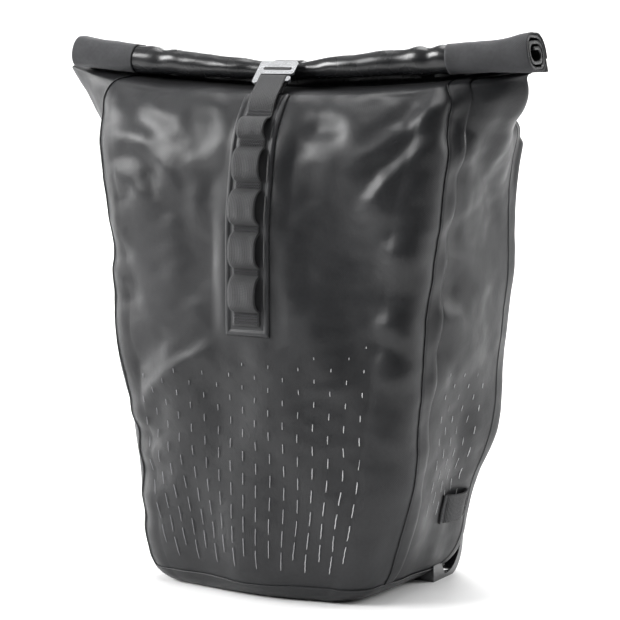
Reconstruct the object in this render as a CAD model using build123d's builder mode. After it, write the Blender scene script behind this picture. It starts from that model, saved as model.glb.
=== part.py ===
from build123d import *
from math import asin, cos, degrees, hypot, sin
import os

os.makedirs("parts", exist_ok=True)

# All sizes are millimetres. +Z is up, the rack side of the bag faces +Y and the
# decorated front faces -Y. The origin is on the floor under the middle of the base.

# ---- driving dimensions ----
FABRIC = 1.2            # coated fabric wall
WEBBING = 25.0          # width of every ladder loop and of the closure strap
BACKING = 40.0          # width of the welded strip behind the ladder
BACKING_T = 1.5
TUBE_R = 8.0            # rack tube the two top hooks take
TUBE_Y, TUBE_Z = 107.5, 385.0
HOOK_X, HOOK_W = 75.0, 24.0
RAIL_HALF = 130.0
PIVOT_Y, PIVOT_Z = 92.0, 395.0
STAY_Z = 110.0

# Bag outline by height: z, half width, front corner line y, front centre y,
# front corner radius, rear y, rear corner radius.
LEVELS = [
    (1.2, 84, -62, -66, 30, 42, 22),
    (14, 103, -75, -85, 30, 66, 22),
    (45, 114, -80, -94, 30, 80, 20),
    (150, 132, -80, -94, 30, 80, 20),
    (304, 150, -80, -94, 28, 80, 20),
    (371, 163, -72, -85, 22, 80, 18),
    (410, 200, -52, -64, 10, 14, 8),
    (411.5, 220, -16, -16, 3, -8, 3),
]
INNER_LEVELS = [
    (0.4, 82.6, -60.6, -64.6, 28.8, 40.6, 20.8),
    (1.2, 82.6, -60.6, -64.6, 28.8, 40.6, 20.8),
    (14, 101.6, -73.7, -83.7, 28.8, 64.6, 20.8),
    (45, 112.8, -78.8, -92.8, 28.8, 78.8, 18.8),
    (150, 130.8, -78.8, -92.8, 28.8, 78.8, 18.8),
    (304, 148.8, -78.8, -92.8, 26.8, 78.8, 18.8),
    (370.6, 161.6, -70.8, -83.7, 20.8, 78.8, 16.8),
    (408.7, 197.8, -50.9, -62.6, 8.8, 12.6, 6.8),
    (410.3, 218.8, -14.8, -14.8, 1.8, -9.2, 1.8),
    (413, 218.8, -14.8, -14.8, 1.8, -9.2, 1.8),
]


def outline(hw, yf, yc, rf, yb, rb):
    """Closed outline of the bag at one height, counted from the right front corner."""
    k = 1 - cos(0.7853981634)
    Line((hw, yb - rb), (hw, yf + rf))
    ThreePointArc((hw, yf + rf), (hw - rf * k, yf + rf * k), (hw - rf, yf))
    Line((hw - rf, yf), (35, yc))
    Line((35, yc), (-35, yc))
    Line((-35, yc), (-(hw - rf), yf))
    ThreePointArc((-(hw - rf), yf), (-(hw - rf * k), yf + rf * k), (-hw, yf + rf))
    Line((-hw, yf + rf), (-hw, yb - rb))
    ThreePointArc((-hw, yb - rb), (-(hw - rb * k), yb - rb * k), (-(hw - rb), yb))
    Line((-(hw - rb), yb), (hw - rb, yb))
    ThreePointArc((hw - rb, yb), (hw - rb * k, yb - rb * k), (hw, yb - rb))


def ribbon(points, t):
    """Outline of a strip of thickness t whose middle runs through the points."""
    h = t / 2
    left, right = [], []
    for i, (x, y) in enumerate(points):
        def direction(a, b):
            d = hypot(b[0] - a[0], b[1] - a[1])
            return (b[0] - a[0]) / d, (b[1] - a[1]) / d
        if i == 0:
            d0 = d1 = direction(points[0], points[1])
        elif i == len(points) - 1:
            d0 = d1 = direction(points[-2], points[-1])
        else:
            d0, d1 = direction(points[i - 1], (x, y)), direction((x, y), points[i + 1])
        n0, n1 = (-d0[1], d0[0]), (-d1[1], d1[0])
        m = (n0[0] + n1[0], n0[1] + n1[1])
        s = 2 * h / (m[0] * m[0] + m[1] * m[1])
        left.append((x + m[0] * s, y + m[1] * s))
        right.append((x - m[0] * s, y - m[1] * s))
    return left + right[::-1]


def save(part, name):
    part.label = name
    export_step(part, "parts/" + name + ".step")


# ---- bag shell: an outer and an inner form, cut into the sewn panels ----
with BuildPart() as outer_form:
    for z, hw, yf, yc, rf, yb, rb in LEVELS:
        with BuildSketch(Plane.XY.offset(z)):
            with BuildLine():
                outline(hw, yf, yc, rf, yb, rb)
            make_face()
    loft(ruled=True)

with BuildPart() as inner_form:
    for z, hw, yf, yc, rf, yb, rb in INNER_LEVELS:
        with BuildSketch(Plane.XY.offset(z)):
            with BuildLine():
                outline(hw, yf, yc, rf, yb, rb)
            make_face()
    loft(ruled=True)

front_line = [(yf + rf, z) for z, hw, yf, yc, rf, yb, rb in LEVELS]
rear_line = [(yb - rb, z) for z, hw, yf, yc, rf, yb, rb in LEVELS]

with BuildPart() as front_region:
    with BuildSketch(Plane.YZ):
        with BuildLine():
            Polyline([(-140, -5), (front_line[0][0], -5)] + front_line
                     + [(front_line[-1][0], 420), (-140, 420)], close=True)
        make_face()
    extrude(amount=260, both=True)

with BuildPart() as rear_region:
    with BuildSketch(Plane.YZ):
        with BuildLine():
            Polyline([(140, -5), (rear_line[0][0], -5)] + rear_line
                     + [(rear_line[-1][0], 420), (140, 420)], close=True)
        make_face()
    extrude(amount=260, both=True)

with BuildPart() as shell:
    add(outer_form.part)
    add(inner_form.part, mode=Mode.SUBTRACT)

RAIL_SCREWS = [(-110, 348), (-24, 348), (24, 348), (110, 348)]
LOW_SCREWS = [(-50, STAY_Z), (50, STAY_Z)]
RIVET_X, RIVET_Z = 93.0, 39.0

with BuildPart() as front_panel:
    add(shell.part)
    add(front_region.part, mode=Mode.INTERSECT)
save(front_panel.part, "front_panel")

with BuildPart() as back_panel:
    add(shell.part)
    add(rear_region.part, mode=Mode.INTERSECT)
    # Clearance holes for the two rails' screws, and the bumpers' rivet holes.
    for x, z in RAIL_SCREWS + LOW_SCREWS:
        with Locations(Location((x, 79, z), (90, 0, 0))):
            Cylinder(2.1, 8, mode=Mode.SUBTRACT)
    for x in (-RIVET_X, RIVET_X):
        with Locations(Location((x, 79, RIVET_Z), (90, 0, 0))):
            Cylinder(1.6, 20, mode=Mode.SUBTRACT)
save(back_panel.part, "back_panel")

for side, sign in (("left", -1), ("right", 1)):
    with BuildPart() as gusset:
        add(shell.part)
        add(front_region.part, mode=Mode.SUBTRACT)
        add(rear_region.part, mode=Mode.SUBTRACT)
        with Locations((-sign * 150, 0, 200)):
            Box(300, 400, 460, mode=Mode.SUBTRACT)
    save(gusset.part, "gusset_" + side)

with BuildPart() as base_panel:
    with BuildSketch(Plane.XY):
        with BuildLine():
            outline(*LEVELS[0][1:])
        make_face()
    extrude(amount=FABRIC)
save(base_panel.part, "base_panel")

with BuildPart() as base_stiffener:
    with BuildSketch(Plane.XY.offset(FABRIC)):
        with Locations((0, -10)):
            RectangleRounded(114, 98, 20)
    extrude(amount=4.4)
save(base_stiffener.part, "base_stiffener")

# Stiff board that lies against the inside of the back.
with BuildPart() as back_board:
    with BuildSketch(Plane.XZ.offset(-77.9)):
        with BuildLine():
            Polyline([(-84, 48), (84, 48), (114, 300), (118, 368), (-118, 368),
                      (-114, 300)], close=True)
        make_face()
    extrude(amount=2.1)
    for x, z in RAIL_SCREWS + LOW_SCREWS:
        with Locations(Location((x, 77, z), (90, 0, 0))):
            Cylinder(2.1, 12, mode=Mode.SUBTRACT)
save(back_board.part, "back_board")

# ---- rolled closure: a folded double edge wound twice toward the front ----
SHEET = 1.8
ROLL_R0, STEP = 9.5, 0.8
ROLL_B = -12.0 - ROLL_R0
ROLL_F = ROLL_B - 8.0
ROLL_Z = 423.5
ROLL_HALF = 220.0
ROLL_RISE = 19.0
ROLL_RAD = (ROLL_HALF ** 2 + ROLL_RISE ** 2) / (2 * ROLL_RISE)
NECK_Z = 415.5


def roll_plane(half):
    a = asin(half / ROLL_RAD)
    return Plane(origin=(-ROLL_RAD * sin(a), 0, ROLL_Z + ROLL_RAD - ROLL_RAD * cos(a)),
                 x_dir=(0, 1, 0), z_dir=(cos(a), 0, -sin(a)))


def half_turn(cx, cy, r, back):
    """Half circle from the top to the bottom (front) or the bottom to the top (back)."""
    if back:
        ThreePointArc((cx, cy - r), (cx + r, cy), (cx, cy + r))
    else:
        ThreePointArc((cx, cy + r), (cx - r, cy), (cx, cy - r))


roll_axis = Axis((0, 0, ROLL_Z + ROLL_RAD), (0, -1, 0))
B, F, d = ROLL_B, ROLL_F, STEP
r0 = ROLL_R0
r1, r2, r3, r4 = r0 - d, r0 - 3 * d, r0 - 5 * d, r0 - 7 * d
TAIL = 30.0

with BuildPart() as roll_closure:
    with BuildSketch(roll_plane(ROLL_HALF)):
        with BuildLine():
            for h in (SHEET / 2, -SHEET / 2):
                Line((B + r0 + h, -TAIL), (B + r0 + h, 0))
                ThreePointArc((B + r0 + h, 0),
                              (B + (r0 + h) * 0.70710678, (r0 + h) * 0.70710678),
                              (B, r0 + h))
                Line((B, r0 + h), (F, r0 + h))
                half_turn(F, d, r1 + h, False)
                Line((F, d - r1 - h), (B, d - r1 - h))
                half_turn(B, -d, r2 + h, True)
                Line((B, -d + r2 + h), (F, -d + r2 + h))
                half_turn(F, d, r3 + h, False)
                Line((F, d - r3 - h), (B, d - r3 - h))
                half_turn(B, -d, r4 + h, True)
                Line((B, -d + r4 + h), (F + 2, -d + r4 + h))
            Line((B + r0 + SHEET / 2, -TAIL), (B + r0 - SHEET / 2, -TAIL))
            Line((F + 2, -d + r4 + SHEET / 2), (F + 2, -d + r4 - SHEET / 2))
        make_face()
    revolve(axis=roll_axis, revolution_arc=2 * degrees(asin(ROLL_HALF / ROLL_RAD)))
    # The tail ends flat on the neck.
    with Locations((0, 0, NECK_Z - 50)):
        Box(600, 200, 100, mode=Mode.SUBTRACT)
    # Neck welt: the two faces of the mouth brought together above the panels.
    with BuildSketch(Plane.YZ):
        with BuildLine():
            Polyline([(-15.5, 411.5), (-8.5, 411.5), (-11.1, NECK_Z), (-12.9, NECK_Z)],
                     close=True)
        make_face()
    extrude(amount=217, both=True)
save(roll_closure.part, "roll_closure")

with BuildPart() as mouth_stiffener:
    with BuildSketch(roll_plane(205)):
        with Locations(((F + B) / 2, -d + r4 - SHEET / 2 - 0.5)):
            Rectangle(7, 1.0)
    revolve(axis=roll_axis, revolution_arc=2 * degrees(asin(205 / ROLL_RAD)))
save(mouth_stiffener.part, "mouth_stiffener")

# ---- ladder of webbing loops down the middle of the front ----
# Three flat stretches of the front's middle facet, lower end first (y, z).
FACETS = [((-94, 218), (-94, 304)), ((-94, 304), (-85, 371)), ((-85, 371), (-64, 410))]


def facet_frame(index):
    (y0, z0), (y1, z1) = FACETS[index]
    n = hypot(y1 - y0, z1 - z0)
    u = ((y1 - y0) / n, (z1 - z0) / n)
    return (y0, z0), u, (-u[1], u[0]), n


def on_facet(index, s, n):
    (y0, z0), u, w, length = facet_frame(index)
    return (y0 + s * u[0] + n * w[0], z0 + s * u[1] + n * w[1])


def facet_corner(index, n):
    """Where the stretches below and above this bend meet, n out from the fabric."""
    y, z = FACETS[index][1]
    wa, wb = facet_frame(index)[2], facet_frame(index + 1)[2]
    m = (wa[0] + wb[0], wa[1] + wb[1])
    k = 2 * n / (m[0] * m[0] + m[1] * m[1])
    return (y + m[0] * k, z + m[1] * k)


with BuildPart() as ladder_backing:
    with BuildSketch(Plane.YZ):
        with BuildLine():
            top = facet_frame(2)[3] - 0.6
            Polyline([on_facet(0, 0, 0), facet_corner(0, 0), facet_corner(1, 0),
                      on_facet(2, top, 0), on_facet(2, top, BACKING_T),
                      facet_corner(1, BACKING_T), facet_corner(0, BACKING_T),
                      on_facet(0, 0, BACKING_T)], close=True)
        make_face()
    extrude(amount=BACKING / 2, both=True)
save(ladder_backing.part, "ladder_backing")

WEB_T = 1.3
BULGE = 8.0
# Bar tacks along each stretch, as distances from its lower end.
TACKS = [[16.0, 51.5, 86.0], [0.0, 34.3, 67.6], [0.0, 25.2, 43.0]]

# The hook hangs in the sloping gap between the roll and the bag's front edge.
HOOK_Y, HOOK_Z, HALF_SQRT = -39.33, 434.13, 0.70710678


def on_hook(s, n):
    """A point s down the hook's plane and n in front of it (y, z)."""
    return (HOOK_Y - HALF_SQRT * (s + n), HOOK_Z - HALF_SQRT * (s - n))


with BuildPart() as ladder_webbing:
    with BuildSketch(Plane.YZ):
        for i, tacks in enumerate(TACKS):
            length = facet_frame(i)[3]
            for t in tacks:
                lo, hi = t - 3, t + 3
                if i == 0 and t == tacks[0]:
                    lo = t - 8
                if t == 0.0 or (i == 2 and t == tacks[-1]):
                    continue
                if i < 2 and t == tacks[-1]:
                    path = [(on_facet(i, lo, BACKING_T), on_facet(i, lo, BACKING_T + WEB_T)),
                            (facet_corner(i, BACKING_T), facet_corner(i, BACKING_T + WEB_T)),
                            (on_facet(i + 1, 3, BACKING_T),
                             on_facet(i + 1, 3, BACKING_T + WEB_T))]
                else:
                    path = [(on_facet(i, lo, BACKING_T), on_facet(i, lo, BACKING_T + WEB_T)),
                            (on_facet(i, hi, BACKING_T), on_facet(i, hi, BACKING_T + WEB_T))]
                with BuildLine():
                    Polyline([p[0] for p in path] + [p[1] for p in path[::-1]],
                             close=True)
                make_face()
            for a, b in zip(tacks, tacks[1:]):
                if i == 2 and b == tacks[-1]:
                    continue
                lo, hi = a + 1.6, b - 1.6
                mid = (lo + hi) / 2
                with BuildLine():
                    ThreePointArc(on_facet(i, lo, BACKING_T),
                                  on_facet(i, mid, BACKING_T + BULGE + WEB_T),
                                  on_facet(i, hi, BACKING_T))
                    Line(on_facet(i, hi, BACKING_T), on_facet(i, hi - 1.5, BACKING_T))
                    ThreePointArc(on_facet(i, hi - 1.5, BACKING_T),
                                  on_facet(i, mid, BACKING_T + BULGE),
                                  on_facet(i, lo + 1.5, BACKING_T))
                    Line(on_facet(i, lo + 1.5, BACKING_T), on_facet(i, lo, BACKING_T))
                make_face()
        # The top loop, pulled up round the hook's tongue.
        m = BACKING_T + WEB_T / 2
        with BuildLine():
            Polyline(ribbon([on_facet(2, 26, m), on_facet(2, 28.6, m), on_facet(2, 31, 6.5),
                             (-73.5, 412.5), on_hook(24, 3.6), on_hook(14.8, 3.6),
                             on_hook(14.8, -1.9), on_hook(23, -1.9), (-66.5, 412.3),
                             on_facet(2, 41.2, m), on_facet(2, 36.5, m)], WEB_T),
                     close=True)
        make_face()
    extrude(amount=WEBBING / 2, both=True)
save(ladder_webbing.part, "ladder_webbing")

# ---- closure strap and metal hook ----
SHELF = (39.0 / 66.0)


def shelf_z(y):
    return 371 + (80 - y) * SHELF


with BuildPart() as strap_anchor:
    with BuildSketch(Plane.YZ):
        with BuildLine():
            Polyline([(74, shelf_z(74)), (38, shelf_z(38)), (38, shelf_z(38) + 1.4),
                      (74, shelf_z(74) + 1.4)], close=True)
        make_face()
    extrude(amount=20, both=True)
save(strap_anchor.part, "strap_anchor")

STRAP_T = 1.5
with BuildPart() as closure_strap_rear:
    with BuildSketch(Plane.YZ):
        with BuildLine():
            Polyline(ribbon([(70, shelf_z(70) + 2.4), (36, shelf_z(36) + 2.4),
                             (14, 411.9), (-15, 436.15), (-28, 436.15)], STRAP_T),
                     close=True)
        make_face()
    extrude(amount=WEBBING / 2, both=True)
save(closure_strap_rear.part, "closure_strap_rear")

with BuildPart() as closure_strap_front:
    with BuildSketch(Plane.YZ):
        with BuildLine():
            Polyline(ribbon([(-28.6, 436.15), (-32.5, 436.15), on_hook(1, -1.9),
                             on_hook(7.2, -1.9), on_hook(7.2, 1.7)], STRAP_T), close=True)
        make_face()
    extrude(amount=WEBBING / 2, both=True)
save(closure_strap_front.part, "closure_strap_front")

# The hook is stamped from plate; its tongue lies behind the top loop.
hook_plane = Plane(origin=(0, HOOK_Y, HOOK_Z), x_dir=(1, 0, 0),
                   z_dir=(0, -HALF_SQRT, HALF_SQRT))
with BuildPart() as closure_hook:
    with BuildSketch(hook_plane):
        with Locations((-0.75, -6)):
            RectangleRounded(35.5, 14, 3.0)
        with Locations((-15.9, -11)):
            RectangleRounded(5.2, 24, 2.5)
        with Locations((-0.75, -19.3)):
            RectangleRounded(35.5, 5.4, 2.6)
        with Locations((0, -7.2)):
            RectangleRounded(26.4, 3.0, 1.4, mode=Mode.SUBTRACT)
    extrude(amount=1.0, both=True)
    # Small turned-out nub at the free end of the tongue.
    with BuildSketch(hook_plane):
        with Locations((14.9, -19.3)):
            Circle(2.7)
    extrude(amount=2.6)
save(closure_hook.part, "closure_hook")

# ---- upper rail with its screws ----
with BuildPart() as hook_rail:
    with BuildSketch(Plane.YZ):
        with Locations((81.5, 348)):
            Rectangle(3, 28)
        with Locations((84.75, 348)):
            Rectangle(3.5, 8)
        with Locations((88.25, 348)):
            Rectangle(3.5, 20)
    extrude(amount=RAIL_HALF, both=True)
    for x, z in RAIL_SCREWS:
        with Locations(Location((x, 85, z), (90, 0, 0))):
            Cylinder(2.1, 14, mode=Mode.SUBTRACT)
        with Locations(Location((x, 88.9, z), (90, 0, 0))):
            Cone(4.0, 2.0, 2.2, mode=Mode.SUBTRACT)
save(hook_rail.part, "hook_rail")

for side, sign in (("left", -1), ("right", 1)):
    with BuildPart() as rail_cap:
        with BuildSketch(Plane.YZ.offset(sign * (RAIL_HALF + 1.75))):
            with Locations((85.7, 348)):
                RectangleRounded(11.4, 31, 2.5)
        extrude(amount=1.75, both=True)
        fillet(rail_cap.faces().sort_by(Axis.X)[-1 if sign > 0 else 0].edges(), 1.2)
    save(rail_cap.part, "rail_cap_" + side)


def screws(positions, y_head, y_tip, name):
    with BuildPart() as group:
        for x, z in positions:
            with Locations(Location((x, y_head - 1.1, z), (90, 0, 0))):
                Cone(4.0, 2.0, 2.2)
            with Locations(Location((x, (y_head - 2.2 + y_tip) / 2, z), (90, 0, 0))):
                Cylinder(2.0, y_head - 2.2 - y_tip)
            # Hexagon socket.
            with BuildSketch(Plane(origin=(x, y_head, z), x_dir=(1, 0, 0),
                                   z_dir=(0, -1, 0))):
                RegularPolygon(1.4, 6)
            extrude(amount=1.5, mode=Mode.SUBTRACT)
    save(group.part, name)


def nuts(positions, y_face, name, nut_height=3.2):
    with BuildPart() as group:
        for x, z in positions:
            with BuildSketch(Plane(origin=(x, y_face, z), x_dir=(1, 0, 0),
                                   z_dir=(0, -1, 0))):
                RegularPolygon(4.0, 6)
                Circle(2.0, mode=Mode.SUBTRACT)
            extrude(amount=nut_height)
    save(group.part, name)


def washers(positions, y_face, name):
    with BuildPart() as group:
        for x, z in positions:
            with BuildSketch(Plane(origin=(x, y_face, z), x_dir=(1, 0, 0),
                                   z_dir=(0, -1, 0))):
                Circle(5.5)
                Circle(2.1, mode=Mode.SUBTRACT)
            extrude(amount=1.0)
    save(group.part, name)


screws(RAIL_SCREWS, 90.0, 70.4, "rail_screws")
washers(RAIL_SCREWS, 75.8, "rail_washers")
nuts(RAIL_SCREWS, 74.8, "rail_nuts")

# ---- the two top hooks with their latches ----
for side, sign in (("left", -1), ("right", 1)):
    x0 = sign * HOOK_X
    with BuildPart() as hook:
        with BuildSketch(Plane.YZ.offset(x0)):
            with Locations((88.9, 349)):
                Rectangle(11.2, 29)
            with Locations((93.45, 380)):
                RectangleRounded(11.9, 40, 2.5)
            with Locations((97.2, 366)):
                Rectangle(4.4, 14)
            with Locations((TUBE_Y, TUBE_Z)):
                Circle(13.6)
            with Locations((118.35, 378)):
                RectangleRounded(5.5, 14, 2.4)
            with Locations((118.35, 381.5)):
                Rectangle(5.5, 7)
            # Throat for the rack tube, open downward.
            with Locations((TUBE_Y, TUBE_Z)):
                Circle(8.05, mode=Mode.SUBTRACT)
            with Locations((TUBE_Y, 370)):
                Rectangle(16.1, 30, mode=Mode.SUBTRACT)
            # Channel that runs on the rail's head, and the gap for its web.
            with Locations((88.25, 348)):
                Rectangle(4.0, 20.5, mode=Mode.SUBTRACT)
            with Locations((84.7, 348)):
                Rectangle(3.2, 8.6, mode=Mode.SUBTRACT)
        extrude(amount=HOOK_W / 2, both=True)
        # Slot for the latch.
        with Locations((x0, 90.25, 384.25)):
            Box(10, 20.5, 37.5, mode=Mode.SUBTRACT)
        # Pin bore and locking-screw bore.
        with Locations(Location((x0, PIVOT_Y, PIVOT_Z), (0, 90, 0))):
            Cylinder(2.0, 40, mode=Mode.SUBTRACT)
        with Locations(Location((x0, 92.5, 348), (90, 0, 0))):
            Cylinder(2.0, 8, mode=Mode.SUBTRACT)
    save(hook.part, "hook_" + side)

    with BuildPart() as latch:
        with BuildSketch(Plane.YZ.offset(x0)):
            with Locations((PIVOT_Y, PIVOT_Z)):
                Circle(4.6)
            with Locations((93, 383.5)):
                Rectangle(5, 24)
            with Locations((99.75, 373.5)):
                RectangleRounded(18.5, 4, 1.6)
            with Locations((86, 395)):
                RectangleRounded(12, 5, 2.4)
            with Locations((PIVOT_Y, PIVOT_Z)):
                Circle(2.05, mode=Mode.SUBTRACT)
            with Locations((82.4, 395)):
                Circle(1.3, mode=Mode.SUBTRACT)
        extrude(amount=4.7, both=True)
        # Recess beside the hub that holds the return spring.
        with Locations(Location((x0 + 3.0, PIVOT_Y, PIVOT_Z), (0, 90, 0))):
            Cylinder(5.2, 3.8, mode=Mode.SUBTRACT)
    save(latch.part, "latch_" + side)

    with BuildPart() as latch_pin:
        with Locations(Location((x0, PIVOT_Y, PIVOT_Z), (0, 90, 0))):
            Cylinder(2.0, HOOK_W)
            Hole(0.6, depth=2)
    save(latch_pin.part, "latch_pin_" + side)

    with BuildPart() as latch_spring:
        with BuildLine() as coil:
            Helix(pitch=1.05, height=2.1, radius=3.4,
                  center=(x0 + 1.95, PIVOT_Y, PIVOT_Z), direction=(1, 0, 0))
        with BuildSketch(Plane(origin=coil.line @ 0, z_dir=coil.line % 0)):
            Circle(0.4)
        sweep(path=coil.line, is_frenet=True)
    save(latch_spring.part, "latch_spring_" + side)

    with BuildPart() as lock_screw:
        with Locations(Location((x0, 92.5, 348), (90, 0, 0))):
            Cylinder(2.0, 4.0)
        with BuildSketch(Plane.XZ.offset(-98.3)):
            with Locations((x0, 348)):
                Circle(5.0)
                with PolarLocations(5.0, 10):
                    Circle(0.7, mode=Mode.SUBTRACT)
        extrude(amount=3.8)
    save(lock_screw.part, "lock_screw_" + side)

# ---- carrying handle that also opens the latches ----
with BuildPart() as handle_grip:
    with BuildSketch(Plane.YZ):
        with Locations((81, 406.5)):
            RectangleRounded(24, 9, 4.2)
    extrude(amount=44, both=True)
save(handle_grip.part, "handle_grip")

for side, sign in (("left", -1), ("right", 1)):
    with BuildPart() as handle_strap:
        with BuildSketch(Plane.XZ.offset(-86.5)):
            with BuildLine():
                Polyline(ribbon([(sign * 44, 406.2), (sign * 50, 406.2), (sign * 62, 400.0),
                                 (sign * 68, 398.9), (sign * 82, 398.9)], 1.6),
                         close=True)
            make_face()
        extrude(amount=14)
    save(handle_strap.part, "handle_strap_" + side)

# ---- lower rail, carrier and swivelling stay hook ----
with BuildPart() as lower_rail:
    with BuildSketch(Plane.YZ):
        with Locations((81.25, STAY_Z)):
            Rectangle(2.5, 24)
        with Locations((84.0, STAY_Z)):
            Rectangle(3.0, 8)
        with Locations((87.0, STAY_Z)):
            Rectangle(3.0, 18)
    extrude(amount=62, both=True)
    for x, z in LOW_SCREWS:
        with Locations(Location((x, 84, z), (90, 0, 0))):
            Cylinder(2.1, 12, mode=Mode.SUBTRACT)
        with Locations(Location((x, 87.4, z), (90, 0, 0))):
            Cone(4.0, 2.0, 2.2, mode=Mode.SUBTRACT)
save(lower_rail.part, "lower_rail")

screws(LOW_SCREWS, 88.5, 70.4, "lower_rail_screws")
washers(LOW_SCREWS, 75.8, "lower_rail_washers")
nuts(LOW_SCREWS, 74.8, "lower_rail_nuts")

with BuildPart() as stay_carrier:
    with BuildSketch(Plane.YZ):
        with Locations((88.0, STAY_Z)):
            Rectangle(10.4, 25)
        with Locations((87.0, STAY_Z)):
            Rectangle(3.5, 18.5, mode=Mode.SUBTRACT)
        with Locations((84.0, STAY_Z)):
            Rectangle(2.6, 8.6, mode=Mode.SUBTRACT)
    extrude(amount=17, both=True)
    with Locations(Location((0, 92.5, STAY_Z), (90, 0, 0))):
        Cylinder(3.0, 6, mode=Mode.SUBTRACT)
save(stay_carrier.part, "stay_carrier")

with BuildPart() as stay_pivot:
    with BuildSketch(Plane.XZ.offset(-89.2)):
        with Locations((0, STAY_Z)):
            Circle(3.0)
    extrude(amount=-17.8)
    with BuildSketch(Plane.XZ.offset(-93.2)):
        with Locations((0, STAY_Z)):
            Circle(5.0)
    extrude(amount=-6.2)
save(stay_pivot.part, "stay_pivot")

with BuildPart() as stay_hook:
    with BuildSketch(Plane.XZ.offset(-93.5)):
        with Locations((0, STAY_Z)):
            Circle(11)
        with Locations((0, 88)):
            RectangleRounded(15, 48, 4)
        with Locations((0, STAY_Z)):
            Circle(5.05, mode=Mode.SUBTRACT)
    extrude(amount=-5.6)
    with BuildSketch(Plane.YZ):
        with BuildLine():
            Polyline(ribbon([(97, 67), (111, 67), (114.5, 71), (114.5, 84)], 5.0),
                     close=True)
        make_face()
    extrude(amount=7.5, both=True)
save(stay_hook.part, "stay_hook")

with BuildPart() as stay_knob:
    with BuildSketch(Plane.XZ.offset(-99.7)):
        with Locations((0, STAY_Z)):
            Circle(10)
            with PolarLocations(11.2, 6):
                Circle(2.6, mode=Mode.SUBTRACT)
            Circle(3.05, mode=Mode.SUBTRACT)
    extrude(amount=-7)
save(stay_knob.part, "stay_knob")

# ---- light loop on the right gusset ----
gx = 114 + 18 * (56.0 - 45) / 105
light_plane = Plane(origin=(gx, 34, 56), x_dir=(105, 0, -18), z_dir=(18, 0, 105))
with BuildPart() as light_loop:
    with BuildSketch(light_plane):
        with BuildLine():
            ThreePointArc((0, -17), (10.5, 0), (0, 17))
            Line((0, 17), (0, 14.5))
            ThreePointArc((0, 14.5), (9.2, 0), (0, -14.5))
            Line((0, -14.5), (0, -17))
        make_face()
        with BuildLine():
            Polyline([(0, -21), (0, -14.5), (1.3, -14.5), (1.3, -21)], close=True)
        make_face()
        with BuildLine():
            Polyline([(0, 21), (0, 14.5), (1.3, 14.5), (1.3, 21)], close=True)
        make_face()
    extrude(amount=24)
save(light_loop.part, "light_loop")

# ---- moulded corner bumpers at the two lower rear corners ----
# A curved skid that stands off the fabric between a riveted upper end and a foot.
for side, sign in (("left", -1), ("right", 1)):
    with BuildPart() as bumper:
        with BuildSketch(Plane.YZ.offset(sign * 94.0)):
            with BuildLine():
                Line((30, 0), (65, 0))
                Spline((65, 0), (75, 5.6), (82, 15.5), (85, 26), (85.5, 36))
                Line((85.5, 36), (85.5, 44))
                Line((85.5, 44), (72, 46))
                Line((72, 46), (72, 32.5))
                Line((72, 32.5), (81.4, 30.5))
                Spline((81.4, 30.5), (78.6, 21), (72.5, 12.0), (63.5, 5.4), (50, 3.6))
                Line((50, 3.6), (44, 15))
                Line((44, 15), (30, 15))
                Line((30, 15), (30, 0))
            make_face()
        extrude(amount=9, both=True)
        # The ends sit against the fabric.
        add(outer_form.part, mode=Mode.SUBTRACT)
        with Locations((0, -20, 0)):
            Box(168.2, 130, 2.44, mode=Mode.SUBTRACT)
        with Locations(Location((sign * RIVET_X, 79, RIVET_Z), (90, 0, 0))):
            Cylinder(1.6, 20, mode=Mode.SUBTRACT)
    save(bumper.part, "corner_bumper_" + side)

with BuildPart() as bumper_rivets:
    for sign in (-1, 1):
        with Locations(Location((sign * RIVET_X, 80, RIVET_Z), (90, 0, 0))):
            Cylinder(1.6, 11)
        with Locations(Location((sign * RIVET_X, 86.2, RIVET_Z), (90, 0, 0))):
            Cylinder(3.4, 1.4)
save(bumper_rivets.part, "bumper_rivets")
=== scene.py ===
import math
import bpy
import numpy as np
from mathutils import Matrix, Vector


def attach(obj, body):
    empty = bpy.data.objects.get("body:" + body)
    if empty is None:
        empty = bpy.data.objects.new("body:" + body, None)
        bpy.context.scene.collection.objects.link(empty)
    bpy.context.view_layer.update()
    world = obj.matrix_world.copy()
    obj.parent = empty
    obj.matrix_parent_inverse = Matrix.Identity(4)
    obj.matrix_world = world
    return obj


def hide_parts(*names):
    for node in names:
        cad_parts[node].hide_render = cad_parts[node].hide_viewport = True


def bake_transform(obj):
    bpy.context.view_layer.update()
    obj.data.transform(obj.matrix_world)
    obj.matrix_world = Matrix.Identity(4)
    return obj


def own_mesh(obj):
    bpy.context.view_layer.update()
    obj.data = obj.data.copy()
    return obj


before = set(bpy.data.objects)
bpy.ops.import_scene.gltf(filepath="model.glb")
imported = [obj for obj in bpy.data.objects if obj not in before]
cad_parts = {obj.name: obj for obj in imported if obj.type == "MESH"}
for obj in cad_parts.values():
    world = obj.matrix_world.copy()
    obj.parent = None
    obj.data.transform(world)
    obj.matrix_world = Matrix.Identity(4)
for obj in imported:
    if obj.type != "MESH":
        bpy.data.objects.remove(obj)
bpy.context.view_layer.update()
rng = np.random.default_rng(7)
MM = 0.001


# ---------------------------------------------------------------- materials
def material(name, slot=None):
    m = bpy.data.materials.new(name)
    m.use_nodes = True
    nt = m.node_tree
    b = nt.nodes["Principled BSDF"]
    return m, nt, b


def node(nt, kind, **values):
    n = nt.nodes.new(kind)
    for k, v in values.items():
        if k.startswith("in_"):
            key = k[3:]
            n.inputs[int(key) if key.isdigit() else key.replace("_", " ")].default_value = v
        else:
            setattr(n, k, v)
    return n


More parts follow.
